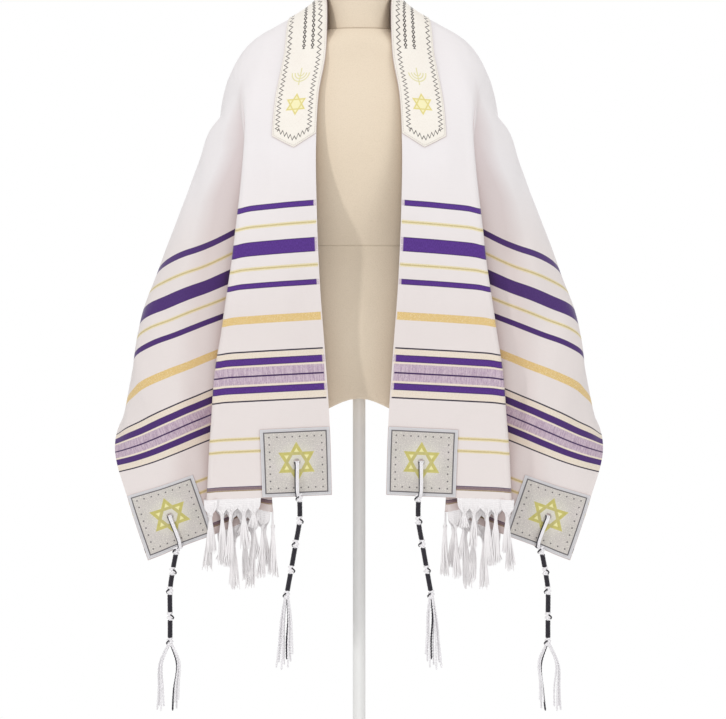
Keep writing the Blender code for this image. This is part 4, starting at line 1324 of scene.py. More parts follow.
@dataclass(frozen=True)
class PatchFinish(Finish):
    """Grey-beige satin with a dark border line, dotted rows and a gold star."""

    name: str = "patch_satin"
    roughness: float = 0.42
    sheen: float = 0.05
    bump: float = 0.35
    specular: float = 0.5
    border: float = 47.6 * MM
    border_line: float = 1.0 * MM
    dots: float = 40.2 * MM
    dot_pitch: float = 11.5 * MM
    dot_radius: float = 1.25 * MM
    star_radius: float = 32 * MM
    star_line: float = 4.8 * MM
    star_glow: float = 27 * MM
    twill_pitch: float = 1.9 * MM
    thread_pitch: float = 0.9 * MM

    def grain(self, g: Graph, x: Socket, y: Socket) -> Socket:
        """The satin's crossing diagonals."""
        turn = 2 * math.pi / self.twill_pitch
        diagonal = g.math("SINE", g.math("MULTIPLY", g.math("ADD", x, y), turn))
        counter = g.math("SINE", g.math("MULTIPLY", g.math("SUBTRACT", x, y), turn))
        return g.math("MULTIPLY", diagonal, counter)

    def satin(self, g: Graph, tint: Socket, x: Socket, y: Socket, grain: Socket) -> Socket:
        """The satin's colour, with rosy clouds and fine flecks."""
        satin = g.mix(tint, (0.50, 0.465, 0.42, 1), (0.64, 0.60, 0.57, 1))
        rosy = g.above(g.noise(g.scaled(x, y, 21, 27), 1.0, 2.0), 0.56, 0.3)
        satin = g.mix(g.math("MULTIPLY", rosy, 0.35), satin, (0.63, 0.54, 0.56, 1))
        ridges = g.math("MULTIPLY", g.above(grain, 0.25, 0.5), 0.22)
        satin = g.mix(ridges, satin, (0.42, 0.40, 0.36, 1))
        flecks = g.above(g.noise(g.scaled(x, y, 620, 620), 1.0, 2.0), 0.56, 0.10)
        satin = g.mix(g.math("MULTIPLY", flecks, 0.42), satin, (0.36, 0.345, 0.31, 1))
        bright = g.above(g.noise(g.scaled(y, x, 560, 560), 1.0, 2.0), 0.60, 0.10)
        return g.mix(g.math("MULTIPLY", bright, 0.5), satin, (0.84, 0.81, 0.72, 1))

    def outlines(self, g: Graph, x: Socket, y: Socket, reach: Socket) -> Socket:
        """The border line and the rows of dots inside it."""
        near = g.math("MINIMUM", g.math("ABSOLUTE", x), g.math("ABSOLUTE", y))
        half = self.dot_pitch / 2
        step = g.math("PINGPONG", g.math("ADD", near, half), half)
        off_row = g.math("SUBTRACT", reach, self.dots)
        square = g.math("ADD", g.math("POWER", step, 2.0), g.math("POWER", off_row, 2.0))
        dot = g.math("SUBTRACT", 1.0, g.above(g.math("SQRT", square), self.dot_radius, 0.4 * MM))
        border = g.line(g.math("SUBTRACT", reach, self.border), self.border_line, 0.5 * MM)
        return g.math("MAXIMUM", dot, border)

    def starred(self, g: Graph, vector: Socket, x: Socket, y: Socket, colour: Socket) -> tuple:
        """Adds the star and the pale glow behind it.

        Returns:
            The colour with the star, and the star's lines.
        """
        star = g.group("Hexagram", X=x, Y=y, Radius=self.star_radius, Line=self.star_line)
        mottled = g.noise(vector, 160, 3.0)
        gold = g.mix(mottled, (0.34, 0.29, 0.045, 1), (0.60, 0.54, 0.13, 1))
        glow = g.mix(mottled, (0.74, 0.69, 0.24, 1), (0.86, 0.82, 0.42, 1))
        square = g.math("ADD", g.math("POWER", x, 2.0), g.math("POWER", y, 2.0))
        halo = g.math("SUBTRACT", 1.0, g.above(g.math("SQRT", square), self.star_glow, 16 * MM))
        colour = g.mix(g.math("MULTIPLY", halo, 0.42), colour, (0.76, 0.74, 0.60, 1))
        colour = g.mix(g.math("MULTIPLY", star["Points"], 0.85), colour, glow)
        return g.mix(g.math("MULTIPLY", star["Lines"], 0.85), colour, gold), star["Lines"]

    def make(self) -> bpy.types.Material:
        """Builds the material."""
        made, g, shader = self.start()
        vector, x, y = g.uv()
        reach = g.math("MAXIMUM", g.math("ABSOLUTE", x), g.math("ABSOLUTE", y))
        inside = g.math("SUBTRACT", 1.0, g.above(reach, self.border, 0.5 * MM))
        tint = g.noise(vector, 38, 3.0)
        grain = self.grain(g, x, y)
        margin = g.mix(tint, (0.54, 0.53, 0.55, 1), (0.68, 0.67, 0.69, 1))
        colour = g.mix(inside, margin, self.satin(g, tint, x, y, grain))
        colour, lines = self.starred(g, vector, x, y, colour)
        dark = self.outlines(g, x, y, reach)
        colour = g.mix(g.math("MULTIPLY", dark, 0.88), colour, (0.05, 0.042, 0.05, 1))
        thread = g.math("SINE", g.math("MULTIPLY", y, 2 * math.pi / self.thread_pitch))
        height = g.math("MULTIPLY_ADD", lines, 1.2, g.math("MULTIPLY_ADD", thread, 0.2, 0.2))
        height = g.math("MULTIPLY_ADD", dark, 0.8, height)
        height = g.math("MULTIPLY_ADD", grain, 0.15, height)
        self.close(g, shader, colour, height)
        return made


@dataclass(frozen=True)
class YarnFinish(Finish):
    """Twisted yarn, whose plies wind round its tube, with painted shade between the plies."""

    roughness: float = 0.78
    sheen: float = 0.2
    bump: float = 0.7
    bump_distance: float = 0.5 * MM
    base: tuple = (0.93, 0.915, 0.925, 1)
    # The colour of the painted shade between the plies, also used for the darker fibres.
    shade: tuple = (0.76, 0.735, 0.77, 1)
    pitch: float = 5 * MM

    def make(self) -> bpy.types.Material:
        """Builds the material."""
        made, g, shader = self.start()
        _, turn, length = g.uv()
        plies = g.group("Twist", Turn=turn, Length=length, Pitch=self.pitch, Plies=2.0)["Height"]
        fibre = g.noise(g.scaled(turn, length, 6, 900), 1.0, 3.0)
        # Painted shade between the plies.
        between = g.math("MULTIPLY", g.math("SUBTRACT", 1.0, plies), 0.6)
        colour = g.mix(between, self.base, self.shade)
        colour = g.mix(g.math("MULTIPLY", fibre, 0.3), colour, self.shade)
        self.close(g, shader, colour, g.math("MULTIPLY_ADD", fibre, 0.4, plies))
        return made


@dataclass(frozen=True)
class FormFinish(Finish):
    """Cream jersey stretched over the form, with its waist and neck seams sunk in, and painted shade where
    the cloth or a fold lies close.
    """

    name: str = "form_jersey"
    roughness: float = 0.9
    sheen: float = 0.15
    bump: float = 0.5
    bump_distance: float = 0.5 * MM
    stitch_scale: float = 620.0
    shade_reach: float = 60 * MM
    shade_strength: float = 0.7
    seam_half: float = 0.7 * MM

    def make(self) -> bpy.types.Material:
        """Builds the material."""
        made, g, shader = self.start()
        place = g.add("ShaderNodeTexCoord").outputs["Object"]
        height_at = g.add("ShaderNodeSeparateXYZ", {"Vector": place}).outputs["Z"]
        tint = g.noise(place, 7, 4.0)
        colour = g.mix(tint, (0.755, 0.635, 0.490, 1), (0.815, 0.705, 0.565, 1))
        cells = g.add("ShaderNodeTexVoronoi", {"Vector": place, "Scale": self.stitch_scale})
        knit = cells.outputs["Distance"]
        colour = g.mix(g.math("MULTIPLY", knit, 0.22), colour, (0.50, 0.40, 0.28, 1))
        # Painted shade: darker and browner where the shade mask finds the cloth close by.
        shade = g.group("Shade", Distance=self.shade_reach, Strength=self.shade_strength)["Mask"]
        colour = g.mix(shade, colour, (0.72, 0.61, 0.51, 1), "MULTIPLY")
        seam = 0.0
        for level in (WAIST_SEAM, NECK_SEAM):
            groove = g.line(g.math("SUBTRACT", height_at, level), self.seam_half, 1.6 * MM)
            seam = g.math("MAXIMUM", seam, groove)
        colour = g.mix(g.math("MULTIPLY", seam, 0.45), colour, (0.36, 0.27, 0.17, 1))
        height = g.math("SUBTRACT", g.math("MULTIPLY", knit, 0.6), g.math("MULTIPLY", seam, 2.2))
        self.close(g, shader, colour, height)
        return made


@dataclass(frozen=True)
class CoatFinish(Finish):
    """A plain coat whose tint drifts over the piece, with a fine grain in its height."""

    low: tuple = (0.74, 0.735, 0.72, 1)
    high: tuple = (0.80, 0.80, 0.79, 1)
    drift: tuple = (9, 4.0)
    grain: float = 700.0

    def make(self) -> bpy.types.Material:
        """Builds the material."""
        made, g, shader = self.start()
        place = g.add("ShaderNodeTexCoord").outputs["Object"]
        colour = g.mix(g.noise(place, *self.drift), self.low, self.high)
        self.close(g, shader, colour, g.noise(place, self.grain, 2.0))
        return made


POWDER_COAT = CoatFinish(
    "powder_coat", roughness=0.38, bump=0.25, bump_distance=0.15 * MM, specular=0.5
)
FLOOR_PAINT = CoatFinish(
    "studio_floor",
    roughness=0.95,
    bump=0.05,
    low=(0.90, 0.90, 0.90, 1),
    high=(0.92, 0.92, 0.92, 1),
    drift=(1.5, 2.0),
    grain=60.0,
)
WHITE_YARN = YarnFinish("white_yarn")
DARK_YARN = YarnFinish("dark_yarn", base=(0.028, 0.024, 0.034, 1), shade=(0.012, 0.010, 0.016, 1))
SEWING_THREAD = YarnFinish(
    "sewing_thread", base=(0.74, 0.70, 0.64, 1), shade=(0.52, 0.48, 0.44, 1), pitch=2 * MM
)
FRINGE_YARN = YarnFinish(
    "fringe_yarn", base=(0.94, 0.915, 0.915, 1), shade=(0.83, 0.80, 0.81, 1), pitch=6 * MM
)


@dataclass
class Finishes:
    """Every material of the part."""

    cloth: bpy.types.Material
    band: bpy.types.Material
    patch: bpy.types.Material
    white_yarn: bpy.types.Material
    dark_yarn: bpy.types.Material
    thread: bpy.types.Material
    fringe: bpy.types.Material
    form: bpy.types.Material
    stand: bpy.types.Material

    @classmethod
    def make(cls) -> "Finishes":
        """Builds them over the shared groups."""
        shared_groups()
        return cls(
            cloth=ClothFinish().make(),
            band=BandFinish().make(),
            patch=PatchFinish().make(),
            white_yarn=WHITE_YARN.make(),
            dark_yarn=DARK_YARN.make(),
            thread=SEWING_THREAD.make(),
            fringe=FRINGE_YARN.make(),
            form=FormFinish().make(),
            stand=POWDER_COAT.make(),
        )


# Pieces


def ring_outline(ring: Ring, sides: int) -> np.ndarray:
    """The form's outline at one level, a rounded oval with its own front and back depth."""
    turn = 2 * math.pi * np.arange(sides) / sides
    c, s = np.cos(turn), np.sin(turn)
    x = np.sign(c) * np.abs(c) ** (2 / RING_POWER) * ring.half_width
    depth = np.where(s > 0, ring.back, ring.front)
    y = np.sign(s) * np.abs(s) ** (2 / RING_POWER) * depth
    z = ring.height - ring.arch * arch_drop(x)
    return np.stack([x, y, z], axis=1) * MM


def arch_drop(x: np.ndarray) -> np.ndarray:
    """How much lower the rim lies at this distance from the form's centre, in millimetres."""
    share = np.clip(np.abs(x) * MM / ARCH_HALF, 0, 1)
    return ARCH_DROP / MM * np.sin(math.pi / 2 * share) ** 2


def smooth_rings(rings: Sequence[Ring], sides: int, steps: int) -> np.ndarray:
    """The rings with more between them, on smooth lines down the form."""
    coarse = np.array([ring_outline(ring, sides) for ring in rings])
    drops = np.array([ring.height for ring in rings]) * MM
    stations = np.abs(drops - drops[0])
    reach = np.array([ring.half_width for ring in rings]) * MM
    stations = stations + np.concatenate([[0], np.cumsum(np.abs(np.diff(reach)))])
    levels = [coarse[0]]
    for low, high in zip(stations, stations[1:]):
        for step in range(1, steps + 1):
            levels.append(through_rows(stations, coarse, low + (high - low) * step / steps))
    return np.array(levels)


@dataclass
class DressForm:
    """The limbless form: a covered torso and a covered neck."""

    finish: bpy.types.Material
    sides: int = 96

    def torso_rings(self) -> np.ndarray:
        """The torso's rings down to the middle of its underside."""
        rings = smooth_rings(TORSO_RINGS, self.sides, 6)
        rim = rings[-1]
        under = []
        for shrink in (0.985, 0.97, 0.8, 0.6):
            level = rim * shrink
            level[:, 2] = FORM_BOTTOM - RIM_DEPTH * min(1.0, (1 - shrink) / 0.03)
            level[:, 2] -= arch_drop(level[:, 0] / MM) * MM
            under.append(level)
        seat = rim * 0.2
        seat[:, 2] = FORM_BOTTOM - RIM_DEPTH
        return np.concatenate([rings, under, [seat]])

    def make(self) -> tuple[bpy.types.Object, BVHTree]:
        """Adds both pieces.

        Returns:
            The torso and a tree of its surface.
        """
        builder = Builder()
        builder.loft(self.torso_rings())
        torso = builder.finish("torso_cover", self.finish, "form", 50)
        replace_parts(torso, "form_torso")
        tree = BVHTree.FromPolygons(builder.points, builder.faces)
        cap = Builder()
        cap.loft(smooth_rings(NECK_RINGS, self.sides, 5))
        neck = cap.finish("neck_cover", self.finish, "form", 50)
        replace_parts(neck, "form_neck")
        return torso, tree


@dataclass
class Stand:
    """The pole and the round base."""

    finish: bpy.types.Material
    pole_radius: float = 10 * MM
    base_radius: float = 180 * MM
    base_height: float = 14 * MM
    hub_radius: float = 24 * MM
    hub_height: float = 46 * MM
    sides: int = 96

    def turned(self, profile: Sequence[tuple], sides: int) -> Builder:
        """A solid turned about the Z axis, from (radius, height) points given upward."""
        turn = 2 * math.pi * np.arange(sides) / sides
        rings = [
            np.stack([r * np.cos(turn), r * np.sin(turn), np.full(sides, z)], axis=1)
            for r, z in reversed(profile)
        ]
        builder = Builder()
        builder.loft(np.array(rings))
        return builder

    def make(self) -> None:
        """Adds both pieces."""
        top = self.base_height + self.hub_height
        edge = []
        for k in range(9):
            turn = math.pi / 2 * k / 8
            radius = self.base_radius - 5 * MM + 5 * MM * math.cos(turn)
            edge.append((radius, self.base_height - 5 * MM + 5 * MM * math.sin(turn)))
        hub = self.hub_radius
        profile = [
            (self.base_radius - 2 * MM, 0.0),
            (self.base_radius - 0.6 * MM, 0.6 * MM),
            (self.base_radius, 2 * MM),
            *edge,
            (hub + 9 * MM, self.base_height + 1 * MM),
            (hub + 4 * MM, self.base_height + 2.4 * MM),
            (hub + 1 * MM, self.base_height + 5 * MM),
            (hub, self.base_height + 9 * MM),
            (hub - 3 * MM, top - 4 * MM),
            (hub - 3.8 * MM, top - 1.5 * MM),
            (hub - 6 * MM, top),
        ]
        base = self.turned(profile, self.sides).finish("base_plate", self.finish, "stand", 40)
        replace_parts(base, "stand_base")
        pole_top = FORM_BOTTOM - RIM_DEPTH - SEAM_GAP
        pole = self.turned(((self.pole_radius, top + SEAM_GAP), (self.pole_radius, pole_top)), 40)
        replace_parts(pole.finish("pole_tube", self.finish, "stand", 40), "stand_pole")


@dataclass
class Stitching:
    """Machine stitches laid along lines on the cloth."""

    builder: Builder = field(default_factory=Builder)
    length: float = 2.6 * MM
    pitch: float = 3.6 * MM
    radius: float = 0.24 * MM

    def along(self, cloth: Cloth, alongs: np.ndarray, acrosses: np.ndarray, lift: float) -> None:
        """Adds a run of stitches.

        Args:
            cloth: the cloth that they lie on.
            alongs: the places of their line along it.
            acrosses: the same places across it.
            lift: how far off the cloth's middle they lie.
        """
        points, normals = cloth.at(alongs, acrosses)
        raised = points + normals * lift
        lengths = running_length(raised)
        for start in np.arange(self.pitch / 2, lengths[-1] - self.length, self.pitch):
            stops = start + self.length * np.array([0, 0.15, 0.5, 0.85, 1])
            path = at_lengths(raised, lengths, stops)
            out = at_lengths(normals, lengths, stops)
            dips = np.array([-0.5, 0.1, 0.3, 0.1, -0.5]) * MM
            self.builder.tube(path + out * dips[:, None], self.radius, 4)


@dataclass
class Shawl:
    """The cloth with its band, patches, stitching, fringe and tzitzit."""

    cloth: Cloth
    finishes: Finishes
    torso: bpy.types.Object
    band_seam: float = 2.2 * MM
    patch_seam: float = 2.6 * MM
    ring_beyond: float = 0.9 * MM
    ring_yarn: float = 0.8 * MM
    ring_points: int = 28

    def eyelets(self) -> list[tuple[float, float]]:
        """Each eyelet's place as (along, across)."""
        along = HALF_LENGTH - PATCH_INSET - PATCH_SIDE / 2
        low = PATCH_INSET + PATCH_SIDE / 2
        return [(s * along, c) for s in (1, -1) for c in (low, CLOTH_WIDTH - low)]

    def main_cloth(self) -> bpy.types.Object:
        """The length of cloth itself."""
        cloth = self.cloth
        rows, columns = cloth.across.shape
        uv = np.stack([cloth.across, np.broadcast_to(cloth.stations[:, None], cloth.across.shape)], axis=2)
        edge = np.minimum(cloth.across, CLOTH_WIDTH - cloth.across)
        end = (HALF_LENGTH - np.abs(cloth.stations))[:, None]
        nearest = np.minimum(edge, np.broadcast_to(end, edge.shape))
        half = CLOTH_HALF_WALL + SELVEDGE_SWELL * np.exp(-((nearest / SELVEDGE_REACH) ** 2))
        holes = set()
        for along, across in self.eyelets():
            for i in np.flatnonzero(np.abs(cloth.stations - along) < 2 * ROW_PITCH):
                for j in np.flatnonzero(np.abs(cloth.across[i] - across) < 2 * ROW_PITCH):
                    if i + 1 >= rows or j + 1 >= columns:
                        continue
                    away = (
                        (cloth.stations[i] + cloth.stations[i + 1]) / 2 - along,
                        (cloth.across[i][j] + cloth.across[i][j + 1]) / 2 - across,
                    )
                    if math.hypot(*away) < EYELET_RADIUS:
                        holes.add((int(i), int(j)))
        builder = Builder()
        builder.shell(cloth.points, cloth.normals, uv, -half, half, holes)
        piece = builder.finish("shawl", self.finishes.cloth, "cloth")
        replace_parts(piece, "shawl_cloth")
        return piece

    def neckband(self) -> bpy.types.Object:
        """The band along the neck edge, pointed at both ends."""
        shares = np.linspace(-1, 1, 221)[:, None]
        across = np.linspace(0.4 * MM, BAND_WIDTH, 29)[None, :]
        reach = BAND_HALF + BAND_TIP_EDGE + BAND_POINT * (1 - np.abs(2 * across / BAND_WIDTH - 1))
        along = shares * reach
        across = np.broadcast_to(across, along.shape)
        points, normals = self.cloth.at(along, across)
        edge = np.minimum(across, BAND_WIDTH - across)
        edge = np.minimum(edge, (1 - np.abs(shares)) * reach)
        lift = CLOTH_HALF_WALL + SELVEDGE_SWELL + SEWN_GAP
        top = lift + BAND_WALL * (0.45 + 0.55 * smooth_step(0, 2.5 * MM, edge))
        builder = Builder()
        builder.shell(points, normals, np.stack([across, along], axis=2), lift, top)
        piece = builder.finish("neck_band", self.finishes.band, "band")
        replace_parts(piece, "neckband")
        return piece

    def patch(self, side: int, first: float, name: str, node: str) -> bpy.types.Object:
        """One corner patch, with a round eyelet at its middle.

        Args:
            side: 1 on the left and -1 on the right.
            first: how far across the cloth it starts.
            name: the piece's name.
            node: the solid that it replaces.

        Returns:
            The piece.
        """
        steps = np.linspace(0, PATCH_SIDE, PATCH_CELLS + 1)
        along = side * (HALF_LENGTH - PATCH_INSET - steps)[:, None]
        across = (first + steps)[None, :]
        along, across = np.broadcast_arrays(along, across)
        points, normals = self.cloth.at(along, across)
        middle = PATCH_SIDE / 2
        y, x = np.broadcast_arrays((steps - middle)[:, None], (steps - middle)[None, :])
        lift = CLOTH_HALF_WALL + SELVEDGE_SWELL + SEWN_GAP
        edge = middle - np.maximum(np.abs(x), np.abs(y))
        puff = 0.45 * smooth_step(0, 2.0 * MM, edge) + 0.25 * smooth_step(5 * MM, 9 * MM, edge)
        top = lift + PATCH_WALL * (0.5 + puff)
        centres = steps[:-1] + steps[1] / 2 - middle
        holes = set()
        for i, j in np.ndindex(PATCH_CELLS, PATCH_CELLS):
            if math.hypot(centres[i], centres[j]) < EYELET_RADIUS:
                holes.add((PATCH_CELLS - 1 - i if side > 0 else i, j))
        builder = Builder()
        uv = np.stack([x * side, y], axis=2)
        order = slice(None, None, -1) if side > 0 else slice(None)
        builder.shell(points[order], normals[order], uv[order], lift, top[order], holes)
        piece = builder.finish(name, self.finishes.patch, "patch")
        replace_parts(piece, node)
        return piece

    def eyelet_ring(self, builder: Builder, along: float, across: float) -> None:
        """A stitched ring round one eyelet."""
        lift = CLOTH_HALF_WALL + SELVEDGE_SWELL + SEWN_GAP + PATCH_WALL + 0.2 * MM
        centre, out = (v[0] for v in self.cloth.at([along], [across]))
        side = unit(np.cross(out, np.array([0.0, 0.0, 1.0])))
        up = np.cross(side, out)
        for distance in (lift, -CLOTH_HALF_WALL - 0.4 * MM):
            turns = 2 * math.pi * np.arange(self.ring_points) / self.ring_points
            radius = EYELET_RADIUS + self.ring_beyond
            ring = centre + out * distance + radius * (
                np.cos(turns)[:, None] * side + np.sin(turns)[:, None] * up
            )
            builder.tube(ring, self.ring_yarn, 6, closed=True)

    def sewing(self) -> bpy.types.Object:
        """Every line of stitches, with the eyelets' rings."""
        run = Stitching()
        lift = CLOTH_HALF_WALL + SELVEDGE_SWELL + SEWN_GAP
        on_band = lift + BAND_WALL
        reach = BAND_HALF + BAND_TIP_EDGE
        alongs = np.linspace(-reach, reach, 200)
        seams = (self.band_seam, BAND_WIDTH - self.band_seam)
        for across in seams:
            run.along(self.cloth, alongs, np.full(200, across), on_band)
        for side in (1, -1):
            across = np.linspace(*seams, 30)
            tip = reach + BAND_POINT * (1 - np.abs(2 * across / BAND_WIDTH - 1)) - 2.4 * MM
            run.along(self.cloth, side * tip, across, on_band)
            for first in (PATCH_INSET, CLOTH_WIDTH - PATCH_INSET - PATCH_SIDE):
                self.patch_stitches(run, side, first, lift + PATCH_WALL)
        for along, across in self.eyelets():
            self.eyelet_ring(run.builder, along, across)
        return run.builder.finish("stitching", self.finishes.thread, "strings")

    def patch_stitches(self, run: Stitching, side: int, first: float, lift: float) -> None:
        """The stitches round one patch.

        Args:
            run: what they are added to.
            side: 1 on the left and -1 on the right.
            first: how far across the cloth the patch starts.
            lift: how far off the cloth's middle they lie.
        """
        inset = self.patch_seam
        low, high = first + inset, first + PATCH_SIDE - inset
        far = HALF_LENGTH - PATCH_INSET - inset
        near = far - PATCH_SIDE + 2 * inset
        span = np.linspace(0, 1, 24)
        for along in (near, far):
            run.along(self.cloth, np.full(24, side * along), low + (high - low) * span, lift)
        for across in (low, high):
            run.along(self.cloth, side * (near + (far - near) * span), np.full(24, across), lift)

    def make(self) -> None:
        """Adds every piece of the shawl."""
        main = self.main_cloth()
        self.neckband()
        with_pieces = [self.sewing()]
        places = (("inner", PATCH_INSET), ("outer", CLOTH_WIDTH - PATCH_INSET - PATCH_SIDE))
        for side, hand in ((1, "left"), (-1, "right")):
            for place, first in places:
                self.patch(side, first, f"patch_{place}_{hand}_satin", f"patch_{place}_{hand}")
            with_pieces.append(Fringe(self.cloth, self.finishes.fringe, side).make())
            for plan in TZITZIT:
                with_pieces.extend(TzitzitMaker(self.cloth, self.finishes, plan, side).make())


@dataclass
class Fringe:
    """The knotted tassels along one hem, between its patches."""

    cloth: Cloth
    finish: bpy.types.Material
    side: int
    margin: float = 6 * MM
    pitch: float = 16 * MM
    drops: tuple = (30, 62, 88, 84, 66, 92, 74, 80)
    yarns: int = 22
    gathered: float = 5 * MM
    sway: float = 4 * MM
    knot_drop: float = 23 * MM
    knot_half: float = 1.8 * MM
    knot_radius: float = 2.8 * MM
    knot_yarn: float = 0.8 * MM
    knot_turns: float = 2.5
    knot_points: int = 30

    def make(self) -> bpy.types.Object:
        """Adds the fringe as one piece.

        Returns:
            The piece.
        """
        rng = random.Random(41 + self.side)
        builder = Builder()
        starts = PATCH_SIDE + self.margin
        ends = CLOTH_WIDTH - PATCH_SIDE - self.margin
        for number in range(int((ends - starts) / self.pitch)):
            self.tassel(builder, rng, starts + (number + 0.5) * self.pitch, number)
        name = "left" if self.side > 0 else "right"
        piece = builder.finish(f"fringe_yarns_{name}", self.finish, "strings")
        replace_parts(piece, f"fringe_{name}")
        return piece

    def tassel(self, builder: Builder, rng: random.Random, across: float, number: int) -> None:
        """One tassel: yarns gathered from the hem into a knot, then loose.

        Args:
            builder: what its yarns are added to.
            rng: the draws of chance for the whole fringe.
            across: its place on the hem.
            number: its number along the hem.
        """
        side = self.side
        drop = self.drops[number % len(self.drops)] * MM
        hem, out = (v[0] for v in self.cloth.at([side * HALF_LENGTH], [across]))
        out = out * np.array([1, 1, 0])
        beside = [across - self.gathered, across + self.gathered]
        edge, _ = self.cloth.at([side * HALF_LENGTH] * 2, beside)
        width = edge[1] - edge[0]
        sway = math.sin(2.3 * number) * self.sway * side
        knot = hem + np.array([0.5 * sway, 0, -self.knot_drop])
        for k in range(self.yarns):
            share = (k + 0.5) / self.yarns - 0.5
            depth = rng.uniform(-1, 1)
            root = hem + width * share * 2.1 + out * depth * 0.3 * MM + np.array([0, 0, 0.6 * MM])
            neck = knot + width * share * 0.4 + out * depth * 1.6 * MM
            long = (drop - 7 * MM) * rng.uniform(0.90, 1.03)
            spread = share * 15 * MM + rng.uniform(-1.2, 1.2) * MM
            foot = knot + np.array([sway - spread * side, depth * 2.6 * MM, -long])
            bend = (neck + foot) / 2 + np.array([rng.uniform(-1, 1) * MM - 0.2 * sway, depth * MM, 0])
            net = 0.78 * root + 0.22 * neck + np.array([0, 0, -9 * MM])
            line = spline_through(np.array([root, net, neck, bend, foot]), 4)
            radii = np.interp(np.linspace(0, 1, len(line)), [0, 0.4, 0.9, 1], [0.95, 0.85, 1.0, 0.6]) * MM
            builder.tube(line, radii, 5)
        share = np.linspace(1, -1, self.knot_points)
        turn = 2 * math.pi * self.knot_turns * (1 - share) / 2
        ring = np.stack([np.cos(turn), np.sin(turn), 0 * turn], axis=1) * self.knot_radius
        rise = np.array([0, 0, self.knot_half]) * share[:, None]
        builder.tube(knot + rise + ring, self.knot_yarn, 5)


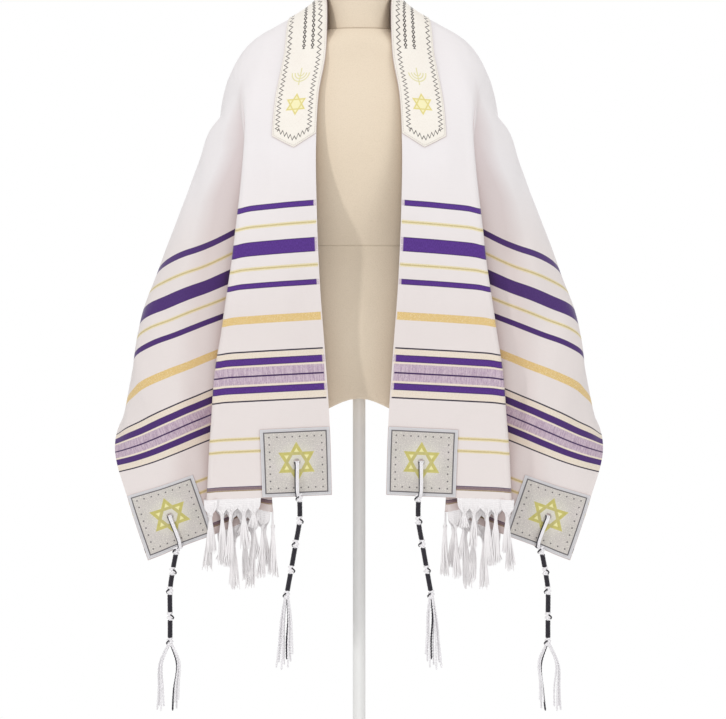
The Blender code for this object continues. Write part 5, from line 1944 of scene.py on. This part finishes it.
@dataclass
class TzitzitMaker:
    """One tzitzit: a loop through the eyelet, wound stretches between knots, and loose strands."""

    cloth: Cloth
    finishes: Finishes
    plan: TzitzitPlan
    side: int
    white: Builder = field(default_factory=Builder)
    dark: Builder = field(default_factory=Builder)
    loop_front: float = 4.6 * MM
    loop_rear: float = 3.4 * MM
    core_radius: float = 2.4 * MM
    winding_radius: float = 2.8 * MM
    winding_yarn: float = 1.35 * MM
    winding_pitch: float = 2.3 * MM
    knot_clear: float = 6.5 * MM
    knot_yarn: float = 1.9 * MM
    strand_pitch: float = 9 * MM
    ply_radius: float = 1.0 * MM
    ply_offset: float = 0.8 * MM

    def knot_places(self, depth: float) -> np.ndarray:
        """The knots' places, from the first under the hem to the last."""
        flip = self.side
        return np.array([(x * MM * flip, depth, z * MM) for x, z in self.plan.knots])

    def loop(self, first_knot: np.ndarray) -> None:
        """Two white cords and a dark one from the knot, through the eyelet and down behind."""
        along = self.side * (HALF_LENGTH - PATCH_INSET - PATCH_SIDE / 2)
        (eye, hem), (out, _) = (
            v for v in self.cloth.at([along, self.side * HALF_LENGTH], [self.plan.across] * 2)
        )
        down = unit(hem - eye)
        across = unit(np.cross(out, down))
        front, rear = self.loop_front, self.loop_rear
        bend = (front + rear) / 2
        centre = eye + down * bend + out * (front - rear) / 2
        turns = np.linspace(0, math.pi, 9)[:, None]
        arc = centre + (out * np.cos(turns) - down * np.sin(turns)) * bend
        top = first_knot + np.array([0, 0, 3 * MM])
        knots = [top + out * 1.2 * MM, hem + out * front, *arc, hem - out * rear, top - out * 1.2 * MM]
        line = spline_through(np.array(knots), 4)
        for shift, radius, builder in (
            (-1.2, 1.6, self.white),
            (1.9, 1.7, self.white),
            (-3.1, 1.15, self.dark),
        ):
            offset = across * shift * MM + (out * 0.3 * MM if builder is self.dark else 0)
            share = np.linspace(0, 1, len(line))[:, None]
            pinch = 1 - 0.55 * np.abs(2 * share - 1) ** 4
            builder.tube(line + offset * pinch, radius * MM, 7)

    def cord(self, places: np.ndarray) -> None:
        """The wound stretches and the knots."""
        line = spline_through(places)
        lengths = running_length(line)
        marks = lengths[::FINE_STEPS]
        for mark, after in zip(marks, marks[1:]):
            low, high = mark + self.knot_clear, after - self.knot_clear
            turns = max(3, round((high - low) / self.winding_pitch))
            turn = 2 * math.pi * np.linspace(0, turns, turns * 12)
            path = at_lengths(line, lengths, np.linspace(low, high, turns * 12))
            ring = np.stack([np.cos(turn), np.sin(turn), 0 * turn], axis=1) * self.winding_radius
            self.dark.tube(path + ring, self.winding_yarn, 6)
            core = at_lengths(line, lengths, np.linspace(mark, after, 8))
            self.white.tube(core, self.core_radius, 8)
        for number, mark in enumerate(marks):
            self.knot(at_lengths(line, lengths, mark), number)

    def knot(self, centre: np.ndarray, number: int) -> None:
        """A white double knot with a turn of the dark cord across it."""
        tilt = 0.9 * math.sin(1.7 * number + 0.6)
        hand = 1 if number % 2 else -1
        for level, radius, lean in ((4.4, 2.6, 0.3), (1.6, 3.5, -0.5), (-1.6, 3.5, 0.5), (-4.4, 2.6, -0.3)):
            turns = 2 * math.pi * np.arange(20) / 20
            ring = np.stack([np.cos(turns), np.sin(turns), (0.3 * tilt + lean) * np.cos(turns)], axis=1)
            place = centre + np.array([0, 0, level * MM])
            self.white.tube(place + ring * radius * MM, self.knot_yarn, 7, closed=True)
        turns = np.linspace(-0.45 * math.pi, 0.2 * math.pi, 10)
        drop = np.linspace(2.4, -4.6, 10)
        strand = np.stack([hand * np.cos(turns) * 5.3, np.sin(turns) * 5.3, drop], axis=1) * MM
        self.dark.tube(centre + strand, 1.25 * MM, 6)

    def strands(self, last_knot: np.ndarray) -> None:
        """The loose strands, each of two plies."""
        rng = random.Random(7 + len(self.plan.name))
        count = len(self.plan.strand_ends)
        for k, (x, z) in enumerate(self.plan.strand_ends):
            x = x * MM * self.side
            share = (k + 0.5) / count - 0.5
            deep = 2.6 * MM * math.sin(2.4 * k)
            start = last_knot + np.array([share * 5 * MM * self.side, deep * 0.5, -2 * MM])
            end = np.array([x, last_knot[1] + deep * 1.4, z * MM])
            swing = math.copysign(self.plan.bow * MM, x - last_knot[0])
            bend = start + (end - start) * 0.32 + np.array([swing, 0, 0])
            low = start + (end - start) * 0.7 + np.array([swing * 0.4 + rng.uniform(-1, 1) * MM, 0, 0])
            line = spline_through(np.array([start, bend, low, end]), 14)
            builder = self.dark if k in self.plan.dark_strands else self.white
            turn = 2 * math.pi * running_length(line) / self.strand_pitch
            for ply in (0, math.pi):
                ring = np.stack([np.cos(turn + ply), np.sin(turn + ply), np.zeros(len(line))], axis=1)
                radii = np.full(len(line), self.ply_radius)
                radii[-1] = 0.6 * self.ply_radius
                builder.tube(line + ring * self.ply_offset, radii, 5)

    def make(self) -> list[bpy.types.Object]:
        """Adds the tzitzit.

        Returns:
            Its white and its dark piece.
        """
        hem, _ = self.cloth.at([self.side * HALF_LENGTH], [self.plan.across])
        places = self.knot_places(hem[0][1])
        self.loop(places[0])
        self.cord(places)
        self.strands(places[-1])
        hand = "left" if self.side > 0 else "right"
        stem = f"tzitzit_{self.plan.name}_{hand}"
        white = self.white.finish(f"{stem}_white", self.finishes.white_yarn, "strings")
        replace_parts(white, stem)
        dark = self.dark.finish(f"{stem}_dark", self.finishes.dark_yarn, "strings")
        return [white, dark]


# Studio


@dataclass(frozen=True)
class Studio:
    """The floor, the world's soft light and the lamps."""

    inner_radius: float = 1.2
    outer_radius: float = 2.4
    sides: int = 96

    def floor(self) -> None:
        """Adds the round floor, a disc with a ring about it."""
        sides = self.sides
        points = [(0.0, 0.0, 0.0)]
        for radius in (self.inner_radius, self.outer_radius):
            for k in range(sides):
                turn = 2 * math.pi * k / sides
                points.append((radius * math.cos(turn), radius * math.sin(turn), 0.0))
        faces = []
        for k in range(sides):
            after = (k + 1) % sides
            faces.append((0, 1 + k, 1 + after))
            faces.append((1 + k, 1 + sides + k, 1 + sides + after, 1 + after))
        mesh = bpy.data.meshes.new("floor")
        mesh.from_pydata(points, [], faces)
        mesh.materials.append(FLOOR_PAINT.make())
        floor = bpy.data.objects.new("floor", mesh)
        bpy.context.scene.collection.objects.link(floor)

    def world(self) -> None:
        """Makes the white world, dimmer as a light than it looks."""
        world = bpy.data.worlds.new("studio")
        bpy.context.scene.world = world
        world.use_nodes = True
        g = Graph(world.node_tree)
        backdrop = world.node_tree.nodes["Background"]
        backdrop.inputs["Color"].default_value = (1.0, 1.0, 1.0, 1)
        seen = g.add("ShaderNodeLightPath").outputs["Is Camera Ray"]
        strength = g.math("MULTIPLY_ADD", seen, 1.0 - ROOM_LIGHT, ROOM_LIGHT)
        g.feed(backdrop.inputs["Strength"], strength)

    def make(self) -> None:
        """Builds all three."""
        self.floor()
        self.world()
        for lamp in SOFT_BOXES:
            lamp.make()


def main() -> None:
    """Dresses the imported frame."""
    logging.basicConfig(level=logging.INFO)
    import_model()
    Framing().place()
    bpy.context.scene.view_settings.view_transform = "Standard"
    finishes = Finishes.make()
    Studio().make()
    torso, tree = DressForm(finishes.form).make()
    Stand(finishes.stand).make()
    cloth = Cloth.draped(tree)
    Shawl(cloth, finishes, torso).make()
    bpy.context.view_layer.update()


if __name__ == "__main__":
    main()
